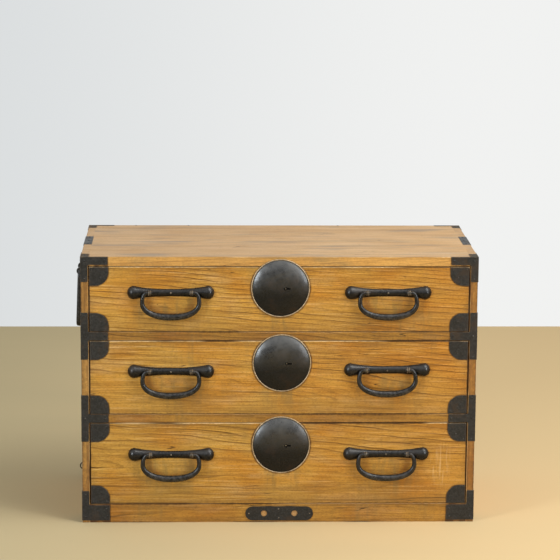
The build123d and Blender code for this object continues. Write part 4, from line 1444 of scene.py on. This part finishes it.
@dataclass(frozen=True)
class Drawer:
    """One drawer with its box, lock disc, two handles, corner plates and nails."""

    name: str
    finishes: Finishes
    boards: Boards
    seed: int
    heart: Vec3
    tint: Colour = WHITE
    crack: Vec3 | None = None
    scuff: Vec3 | None = None
    plate_size: float = 42.5 * MM
    plate_round: float = 29.0 * MM
    plate_inset: float = 0.8 * MM

    def build(self) -> None:
        """Build and dress everything that slides with this drawer, and its two bails."""
        f = self.finishes
        low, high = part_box(f"{self.name}_drawer_front")
        handles = [DrawerHandle(self.name, hand, f, self.seed + step) for step, hand in enumerate(("left", "right"))]
        halos = tuple(tuple(float(c) for c in handle.pivot()) for handle in handles)
        plate_low, plate_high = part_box(f"{self.name}_lock_plate")
        disc = (tuple((plate_low + plate_high) / 2), (plate_high.x - plate_low.x) / 2)
        corner = ((self.plate_size + self.plate_inset, 1.0, self.plate_size + self.plate_inset), self.plate_round)
        front = Board(
            self.name, Lay.ALONG_X_UPRIGHT, self.heart, (low, high), (0.0, 0.0, 1.0), (corner,), halos, disc,
            self.tint, self.crack, self.scuff,
        )
        self.boards.dress(f"{self.name}_drawer_front", f.front.build(f.effects, front), 0.9 * MM)
        for part, lay in (("sides", Lay.ALONG_Y_UPRIGHT), ("back", Lay.ALONG_X_UPRIGHT), ("bottom", Lay.ALONG_X_FLAT)):
            node = f"{self.name}_drawer_{part}"
            board = Board(node, lay, (self.seed * 0.31, self.heart[1], -0.06))
            self.boards.dress(node, f.inner.build(f.effects, board), INNER_EASE)
        LockDisc(self.name, f, self.seed + 20).build()
        bars, eyes = Shell(), Shell()
        for handle in handles:
            handle.bar(bars)
            handle.eyes(eyes)
            handle.bail()
        # The bars' finish is painted shade below their axis, and a pale top that is partly dust and partly painted
        # sheen.
        axis = halos[0][2] - handles[0].axis_drop
        forged = f.iron(f.forged, f"_{self.name}_bars", (axis, handles[0].bulb_radius))
        for shell, part, iron in ((bars, "handle_bars", forged), (eyes, "handle_eyes", f.iron(f.eye))):
            fit(shell.build(f"{self.name}_{part}_forged", iron), f"{self.name}_drawer", f"{self.name}_{part}")
        rivets = Nails(radius=2.1 * MM, height=1.1 * MM)
        for handle in handles:
            x, _, z = (float(c) for c in handle.pivot())
            front_face = low.y + handle.axis_depth - handle.waist_radius
            face = Face((x, front_face, z - handle.axis_drop), *FRONTAL)
            rivets.drive(face, [(0.0, 0.0)], -0.25 * MM)
        rivets.build(f"{self.name}_bar_rivets", f.iron(f.eye), f"{self.name}_drawer", self.seed + 60)
        self._plates(low, high)
        for part in ("lock_case", "lock_bolt"):
            node = frame["nodes"][f"{self.name}_{part}"]
            node.data.materials.clear()
            node.data.materials.append(f.iron(f.plate))

    def _plates(self, low: Vector, high: Vector) -> None:
        """Four quarter-round corner plates and their nails.

        Args:
            low: The front board's lowest corner.
            high: The front board's highest corner.
        """
        f = self.finishes
        size, curve = self.plate_size, self.plate_round
        shell = Shell()
        nails = Nails(radius=1.25 * MM, height=0.5 * MM)
        step = 0
        for x, right in ((low.x + self.plate_inset, 1), (high.x - self.plate_inset, -1)):
            for z, up in ((low.z + self.plate_inset, 1), (high.z - self.plate_inset, -1)):
                face = Face((x, low.y, z), (right, 0, 0), (0, 0, up), (0, -1, 0))
                corners = [(0, 0), (size, 0), (size, size), (0, size)]
                Plate(face, corners, [0.8 * MM, 1.2 * MM, curve, 1.2 * MM]).add_to(shell, self.seed * 7 + step)
                nails.drive(face, [(5 * MM, 5 * MM), (36 * MM, 6 * MM), (6 * MM, 36 * MM), (24 * MM, 24 * MM)])
                step += 1
        made = shell.build(f"{self.name}_corner_plates", f.iron(f.plate))
        fit(made, f"{self.name}_drawer", f"{self.name}_drawer_corner_plates")
        nails.build(f"{self.name}_drawer_nails", f.iron(f.forged), f"{self.name}_drawer", self.seed)


@dataclass(frozen=True)
class CarcassIrons:
    """The folded irons on the carcass, with their nails."""

    finishes: Finishes
    thickness: float = SHEET
    arm_length: float = 61.0 * MM
    arm_height: float = 18.5 * MM
    arm_width: float = 16.0 * MM
    drop: float = 58.0 * MM
    tab_width: float = 18.0 * MM
    tab_length: float = 40.0 * MM
    hem: float = 12.0 * MM
    foot_length: float = 63.0 * MM
    foot_top: float = 41.0 * MM
    foot_low: float = 5.0 * MM
    foot_arm: float = 75.0 * MM
    t_length: float = 109.0 * MM
    t_arm: float = 61.0 * MM
    t_height: float = 19.0 * MM

    def _radii(self, corners: Outline) -> list[float]:
        """Round the free corners, and leave those on a fold sharp."""
        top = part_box("top_board")[1].z
        sharp = [u < 0 or v > top - FOLD for u, v in corners]
        return [FOLD if on_fold else FREE_CORNER for on_fold in sharp]

    def _pair(self, side: int, front: int) -> tuple[Face, Face]:
        """The front (or back) face and the side face that meet at one upright arris."""
        low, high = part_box("left_side_board")[0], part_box("right_side_board")[1]
        x = low.x if side < 0 else high.x
        y = low.y if front < 0 else high.y
        ahead = Face((x, y, 0), (-side, 0, 0), (0, 0, 1), (0, front, 0))
        beside = Face((x, y, 0), (0, -front, 0), (0, 0, 1), (side, 0, 0))
        return ahead, beside

    def _outlines(self) -> dict[str, Outline]:
        """Each iron's outline: inward from the arris, and the height."""
        t, top = -self.thickness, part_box("top_board")[1].z
        arm, width = self.arm_length, self.arm_width
        made = {
            "top": [
                (t, top - self.drop), (width, top - self.drop), (width, top - self.arm_height),
                (arm, top - self.arm_height), (arm, top), (t, top),
            ],
            "foot": [
                (t, self.foot_low), (self.foot_length, self.foot_low), (self.foot_length, self.foot_top),
                (width, self.foot_top), (width, self.foot_arm), (t, self.foot_arm),
            ],
        }
        for name in ("lower_rail", "upper_rail"):
            low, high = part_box(name)
            z, half, rise = (low.z + high.z) / 2, self.t_height / 2, self.t_length / 2
            made[name] = [
                (t, z - rise), (width, z - rise), (width, z - half), (self.t_arm, z - half),
                (self.t_arm, z + half), (width, z + half), (width, z + rise), (t, z + rise),
            ]
        return made

    def build(self) -> None:
        """Build every folded iron, and drive its nails."""
        outlines = self._outlines()
        groups = {
            "top_corner_irons": [("top", -1)],
            "bottom_corner_irons": [("foot", -1)],
            "rail_t_irons": [("lower_rail", -1), ("upper_rail", -1)],
            "rear_corner_irons": [("top", 1), ("foot", 1)],
        }
        nails = Nails(radius=1.9 * MM, height=0.8 * MM)
        tabs = Shell()
        seed = 100
        for node, irons in groups.items():
            shell = Shell()
            for name, front in irons:
                for side in (-1, 1):
                    corners = outlines[name]
                    for face in self._pair(side, front):
                        Plate(face, corners, self._radii(corners), self.thickness).add_to(shell, seed)
                        nails.drive(face, self._nail_places(name, corners))
                        seed += 1
                    if name == "top":
                        seed = self._tab(tabs, nails, side, front, seed)
            fit(shell.build(f"{node}_forged", self.finishes.iron(self.finishes.plate)), "carcass", node)
        fit(tabs.build("top_corner_tabs", self.finishes.iron(self.finishes.tab)), "carcass")
        nails.build("corner_iron_nails", self.finishes.iron(self.finishes.forged), "carcass", 31)

    def _tab(self, shell: Shell, nails: Nails, side: int, front: int, seed: int) -> int:
        """The tab of a top corner iron on the top, with a hem along the rear edge at the back.

        Args:
            shell: The mesh that takes it.
            nails: The nails to add to.
            side: -1 for the left, 1 for the right.
            front: -1 for the front, 1 for the back.
            seed: The next unevenness.

        Returns:
            The seed after this one.
        """
        ahead = self._pair(side, front)[0]
        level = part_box("top_board")[1].z - self.thickness + TAB_RISE
        face = Face((ahead.origin[0], ahead.origin[1], level), (-side, 0, 0), (0, -front, 0), (0, 0, 1))
        t, width, length = -self.thickness, self.tab_width, self.tab_length
        corners = [(t, t), (width, t), (width, length), (t, length)]
        radii = [FOLD, FREE_CORNER, FREE_CORNER, FOLD]
        if front > 0:
            corners[1:2] = [(self.arm_length, t), (self.arm_length, self.hem), (width, self.hem)]
            radii[1:2] = [FOLD, FREE_CORNER, FREE_CORNER]
        Plate(face, corners, radii, self.thickness).add_to(shell, seed)
        nails.drive(face, [(9 * MM, 10 * MM), (9 * MM, 31 * MM)])
        return seed + 2

    def _nail_places(self, name: str, corners: Outline) -> Outline:
        """Where one side of an iron is nailed: near the ends of its arms.

        Args:
            name: Which iron.
            corners: Its outline.

        Returns:
            Places in the face's own plane.
        """
        heights = [v for _, v in corners]
        low, high, inset = min(heights), max(heights), 7 * MM
        middle = self.arm_width / 2
        if name == "top":
            return [(middle, low + inset), (middle, high - 9 * MM), (self.arm_length - inset, high - 8.5 * MM)]
        if name == "foot":
            end = self.foot_length - 8 * MM
            return [(middle, high - 8 * MM), (middle, low + 9 * MM), (end, low + 9 * MM), (end, self.foot_top - 8 * MM)]
        centre = (low + high) / 2
        return [(middle, low + inset), (middle, centre), (middle, high - inset), (self.t_arm - inset, centre)]


@dataclass(frozen=True)
class CarryHandle:
    """A long carrying handle with its eyes and its folded plate."""

    hand: str
    finishes: Finishes
    side: int
    eye_place: float = 33.0 * MM
    eye_inner: float = 4.8 * MM
    strip: float = 4.0 * MM
    strip_width: float = 6.0 * MM
    journal: float = 4.4 * MM
    half_width: float = 46.0 * MM
    shoulder_drop: float = 12.0 * MM
    corner_round: float = 16.0 * MM
    length: float = 131.5 * MM
    leg_thickness: float = 11.0 * MM
    leg_width: float = 9.0 * MM
    grip_thickness: float = 20.0 * MM
    grip_width: float = 13.0 * MM
    plate_width: float = 112.0 * MM
    plate_drop: float = 91.0 * MM
    plate_lip: float = 18.0 * MM

    def pivot(self) -> np.ndarray:
        """The middle of the handle's hinge line."""
        return hinge(f"{self.hand}_carry_handle_swing")

    def bar(self) -> None:
        """Forge the handle: a rounded bar that thickens towards its grip.

        From each journal the path is a quarter ellipse to the side, a straight leg, a
        quarter circle and half of the straight grip.
        """
        centre = self.pivot()
        start = self.eye_place + self.strip_width / 2 + GAP
        tip = self.eye_place - self.strip_width / 2 - 4.0 * MM
        grip = -self.length + self.grip_width / 2
        turn = np.linspace(np.pi / 2, 0, 12)
        pin = np.stack([[tip, tip + 0.4 * MM, start - 0.05 * MM], [0.0, 0.0, 0.0]], axis=-1)
        shoulder = unit_circle(turn) * [self.half_width - start, self.shoulder_drop] + [start, -self.shoulder_drop]
        low = grip + self.corner_round
        leg = np.stack([np.full(14, self.half_width), np.linspace(-self.shoulder_drop, low, 16)[1:-1]], axis=-1)
        dip = np.linspace(0, -np.pi / 2, 14)
        corner = unit_circle(dip) * self.corner_round + [self.half_width - self.corner_round, low]
        across = np.stack([np.linspace(self.half_width - self.corner_round, 0, 9)[1:], np.full(8, grip)], axis=-1)
        half = np.concatenate([pin, shoulder, leg, corner, across])
        share = np.clip(half[:, 1] / grip, 0, 1)
        thick = self.leg_thickness + (self.grip_thickness - self.leg_thickness) * share
        wide = self.leg_width + (self.grip_width - self.leg_width) * share
        thick[:3] = wide[:3] = 2 * self.journal
        line = both_ways(half, np.array([-1, 1]))
        thick, wide = both_ways(thick) / 2, both_ways(wide) / 2
        path = np.stack([np.full(len(line), centre[0]), line[:, 0] + centre[1], line[:, 1] + centre[2]], axis=-1)
        shell = Shell()
        shell.tube(swept(path, (1, 0, 0), wide, thick, 28, 3.2), wear=0.25)
        name = f"{self.hand}_carry_handle"
        fit(shell.build(f"{name}_forged", self.finishes.iron(self.finishes.forged)), name, name)

    def eyes(self, shell: Shell) -> None:
        """Add both eyes: thick strip turned about the hinge line, on a stem into the board.

        Args:
            shell: The mesh that takes them.
        """
        centre = self.pivot()
        turn = full_turn(40)
        half, outside = self.strip_width / 2, self.eye_inner + self.strip
        soft = 1.1 * MM
        section = np.array([
            (-half, self.eye_inner), (-half, outside - soft), (-half + soft, outside), (half - soft, outside),
            (half, outside - soft), (half, self.eye_inner), (-half, self.eye_inner),
        ])
        depths = centre[0] - self.side * np.linspace(self.eye_inner + 0.4 * MM, 20 * MM, 4)
        for side in (-1, 1):
            middle = centre + [0.0, side * self.eye_place, 0.0]
            shell.grid(turned(section, middle, 1, turn), wear=0.5)
            stem = np.array([(depth, middle[1], middle[2]) for depth in depths])
            shell.tube(swept(stem, (0, 1, 0), np.full(4, self.strip), np.full(4, half * 0.97), 16, 6.0))

    def plate(self, shell: Shell, nails: Nails) -> None:
        """Add the plate behind the handle, folded over the edge of the top.

        Args:
            shell: The mesh that takes it.
            nails: The nails to add to.
        """
        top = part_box("top_board")[1].z
        edge = self.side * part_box("right_side_board")[1].x
        half, thick = self.plate_width / 2, SHEET
        beside = Face((edge, 0, 0), (0, 1, 0), (0, 0, 1), (self.side, 0, 0))
        over = Face((edge, 0, top - thick + TAB_RISE), (-self.side, 0, 0), (0, 1, 0), (0, 0, 1))
        low = top - self.plate_drop
        corners = [(-half, low), (half, low), (half, top), (-half, top)]
        Plate(beside, corners, [FREE_CORNER, FREE_CORNER, FOLD, FOLD]).add_to(shell, 300 + self.side)
        lip = [(-thick, -half), (self.plate_lip, -half), (self.plate_lip, half), (-thick, half)]
        Plate(over, lip, [FOLD, FREE_CORNER, FREE_CORNER, FOLD]).add_to(shell, 304 + self.side)
        first, second, third = low + 8 * MM, low + 48 * MM, low + 79 * MM
        places = [(u * 48 * MM, v) for u in (-1, 1) for v in (first, second, third)]
        nails.drive(beside, [*places, (0.0, first), (0.0, third)])
        nails.drive(over, [(9 * MM, u * MM) for u in (-46, 0, 46)])


@dataclass(frozen=True)
class Carcass:
    """The ironwork and small fittings that stay with the carcass."""

    finishes: Finishes

    def build(self) -> None:
        """Build the irons, the carrying handles, the base plate's finish, and the loose fittings."""
        f = self.finishes
        CarcassIrons(f).build()
        plates, eyes, nails = Shell(), Shell(), Nails(radius=2.4 * MM, height=1.2 * MM)
        for hand, side in (("left", -1), ("right", 1)):
            handle = CarryHandle(hand, f, side)
            handle.bar()
            handle.eyes(eyes)
            handle.plate(plates, nails)
        for shell, node, finish in ((plates, "carry_handle_plates", f.plate), (eyes, "carry_handle_eyes", f.forged)):
            fit(shell.build(f"{node}_forged", f.iron(finish)), "carcass", node)
        nails.build("carry_plate_nails", f.iron(f.forged), "carcass", 41)
        Boards(f).dress("base_plate", f.iron(f.plate), 0.5 * MM)
        self._small_nails()
        self._staple()

    def _small_nails(self) -> None:
        """Nails of the base plate, of the back boards and along the top's rear edge."""
        f = self.finishes
        low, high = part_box("base_plate")
        ahead = Face(((low.x + high.x) / 2, low.y, (low.z + high.z) / 2), *FRONTAL)
        low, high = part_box("back_boards")
        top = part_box("top_board")[1]
        behind = Face((0, high.y, 0), (1, 0, 0), (0, 0, 1), (0, 1, 0))
        over = Face((0, top.y, top.z), (1, 0, 0), (0, -1, 0), (0, 0, 1))
        inset, end, reach = 6 * MM, 20 * MM, 360 * MM
        heights = np.linspace(low.z + end, high.z - end, 9)
        rear = [(side * (high.x - inset), float(z)) for z in heights for side in (-1, 1)]
        rear += [(float(x), high.z - inset) for x in np.linspace(-reach, reach, 7)]
        plate = [(x * MM, z * MM) for x, z in ((-1, 11), (-1, -10), (-70, 0), (70, 0))]
        rows = (
            ("base_plate_nails", f.eye, 1.6, 0.6, ahead, plate),
            ("back_board_nails", f.plate, 1.8, 0.5, behind, rear),
            ("top_edge_nails", f.plate, 1.9, 1.1, over, [(x * MM, 5 * MM) for x in (-337, -209, 154)]),
        )
        for seed, (name, finish, radius, height, face, places) in enumerate(rows, 51):
            nails = Nails(radius=radius * MM, height=height * MM)
            nails.drive(face, places, 0.0)
            nails.build(name, f.iron(finish), "carcass", seed)

    def _staple(self) -> None:
        """A small wire staple low on the left side, near the front: half a circle on two legs."""
        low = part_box("left_side_board")[0]
        turn = np.linspace(0, np.pi, 16)
        middle, reach, tall, root = 133 * MM, 4.6 * MM, 6.5 * MM, low.x + 4 * MM
        x = np.concatenate([[root], low.x - reach * np.sin(turn), [root]])
        z = middle + tall * np.concatenate([[1.0], np.cos(turn), [-1.0]])
        path = np.stack([x, np.full(len(x), low.y + 9 * MM), z], axis=-1)
        shell = Shell()
        shell.tube(swept(path, (0, 1, 0), np.full(len(x), 1.3 * MM), np.full(len(x), 1.5 * MM), 10), wear=0.2)
        fit(shell.build("side_staple", self.finishes.iron(self.finishes.forged)), "carcass")


# Stage -----------------------------------------------------------------------


@dataclass(frozen=True)
class Stage:
    """The plain floor, the pale background, the soft lights and the camera."""

    floor_back: float = 2.0
    floor_reach: float = 14.0
    eye: Vec3 = (-0.1686, -5.6176, 1.5809)
    yaw: float = 1.7954
    pitch: float = 10.6232
    roll: float = 0.3621
    focal_pixels: float = 2427.1
    image_pixels: float = 560.0
    sensor: float = 36.0
    floor_painted_light_tones: tuple[Colour, Colour] = ((0.54, 0.445, 0.26, 1.0), (0.77, 0.57, 0.305, 1.0))
    wall_painted_light_tones: tuple[Colour, Colour] = ((0.685, 0.71, 0.72, 1.0), (0.88, 0.885, 0.875, 1.0))
    room_tones: tuple[Colour, Colour] = ((0.15, 0.15, 0.145, 1.0), (1.0, 1.0, 0.99, 1.0))
    fill: Colour = (0.42, 0.425, 0.43, 1.0)
    lamps: tuple[tuple[str, Vec3, tuple[float, float], float, Vec3], ...] = (
        ("left_window", (-3.2, -3.0, 1.45), (1.0, 1.9), 84.0, (0.88, 0.95, 1.0)),
        ("right_window", (3.4, -2.8, 1.45), (0.9, 1.7), 62.0, (0.94, 0.975, 1.0)),
        ("ceiling", (1.9, -1.1, 3.3), (2.6, 2.6), 92.0, (1.0, 0.99, 0.96)),
    )

    def build(self) -> None:
        """Set the whole stage."""
        self._floor()
        self._world()
        for lamp in self.lamps:
            self._lamp(*lamp)
        self._camera()

    def _floor(self) -> None:
        """A flat pale floor that ends behind the chest, where the pale wall would stand. Its colour is painted light,
        darker towards the left and brighter to the right.
        """
        mesh = bpy.data.meshes.new("floor")
        reach, back = self.floor_reach, self.floor_back
        corners = [(-reach, -reach, 0), (reach, -reach, 0), (reach, back, 0), (-reach, back, 0)]
        mesh.from_pydata(corners, [], [(0, 1, 2, 3)])
        made = bpy.data.objects.new("floor", mesh)
        bpy.context.scene.collection.objects.link(made)
        material, net, shader, place = start_material("pale_floor")
        # Painted light: the floor's colour darkens towards the left and brightens to the right.
        light_falloff = net.add(net.part(place, 0), net.mul(net.noise(place, (0.7, 3.0, 1.0)), 0.5))
        colour = net.mix(net.span(light_falloff, -0.75, 0.95), *self.floor_painted_light_tones)
        net.put(shader.inputs["Base Color"], colour)
        net.put(shader.inputs["Roughness"], 0.85)
        net.put(shader.inputs["Specular IOR Level"], 0.08)
        mesh.materials.append(material)

    def _world(self) -> None:
        """A pale wall behind, with painted light that darkens it towards the left, a dimmer room in front of it in
        reflections, and a soft fill light.
        """
        world = bpy.data.worlds.new("room")
        bpy.context.scene.world = world
        world.use_nodes = True
        net = Net(world.node_tree)
        light = net.node("ShaderNodeLightPath").outputs
        mirrored = net.math("MAXIMUM", light["Is Glossy Ray"], light["Is Transmission Ray"])
        seen = net.math("MAXIMUM", light["Is Camera Ray"], mirrored)
        way = [net.part(net.node("ShaderNodeTexCoord").outputs["Generated"], axis) for axis in range(3)]
        # Painted light: the wall darkens towards the left and brightens to the right.
        wall = net.mix(net.span(way[0], -0.15, 0.13), *self.wall_painted_light_tones)
        room = net.mix(net.span(way[2], 0.02, 0.40), *self.room_tones)
        shown = net.mix(net.span(way[1], -0.1, 0.3), room, wall)
        back = world.node_tree.nodes["Background"]
        net.put(back.inputs["Color"], net.mix(seen, self.fill, shown))

    @staticmethod
    def _lamp(name: str, place: Vec3, size: tuple[float, float], power: float, colour: Vec3) -> None:
        """A soft rectangular lamp that faces the middle of the chest.

        Args:
            name: The lamp's name.
            place: Where it hangs.
            size: Its width and height.
            power: Its power in watts.
            colour: Its colour.
        """
        data = bpy.data.lights.new(name, "AREA")
        data.shape, data.size, data.size_y = "RECTANGLE", *size
        data.energy, data.color = power, colour
        lamp = bpy.data.objects.new(name, data)
        lamp.location = place
        lamp.rotation_euler = (Vector((0, -0.1, 0.3)) - Vector(place)).to_track_quat("-Z", "Y").to_euler()
        bpy.context.scene.collection.objects.link(lamp)

    def _camera(self) -> None:
        """The camera: turned by yaw, tipped down by pitch, and rolled a little."""
        data = bpy.data.cameras.new("camera")
        data.sensor_width = self.sensor
        data.lens = self.focal_pixels / self.image_pixels * self.sensor
        data.clip_end = 100.0
        camera = bpy.data.objects.new("camera", data)
        turn = Matrix.Rotation(-math.radians(self.yaw), 4, "Z")
        tip = Matrix.Rotation(math.radians(90 - self.pitch), 4, "X")
        lean = Matrix.Rotation(math.radians(self.roll), 4, "Z")
        camera.matrix_world = Matrix.Translation(self.eye) @ turn @ tip @ lean
        bpy.context.scene.collection.objects.link(camera)
        bpy.context.scene.camera = camera
        bpy.context.scene.view_settings.view_transform = "Standard"


def main() -> None:
    """Build the stage, the boards, the drawers and the ironwork, in that order."""
    logging.basicConfig(level=logging.INFO, format="%(name)s: %(message)s")
    finishes = Finishes(Effects())
    Stage().build()
    boards = Boards(finishes)
    boards.finish()
    drawers = {"bottom": (1, (0.0, 0.12, 0.10)), "middle": (4, (1.9, 0.37, 0.12)), "top": (9, (3.4, 0.50, 0.10))}
    tints = {"bottom": (0.93, 0.92, 0.84, 1.0), "middle": (0.98, 0.97, 0.92, 1.0), "top": (1.0, 0.985, 0.90, 1.0)}
    marks = {"bottom": ((-0.385, -0.22, 0.131), (0.372, -0.22, 0.136))}
    for name, (seed, heart) in drawers.items():
        Drawer(name, finishes, boards, seed, heart, tints[name], *marks.get(name, ())).build()
    Carcass(finishes).build()


if __name__ == "__main__":
    main()
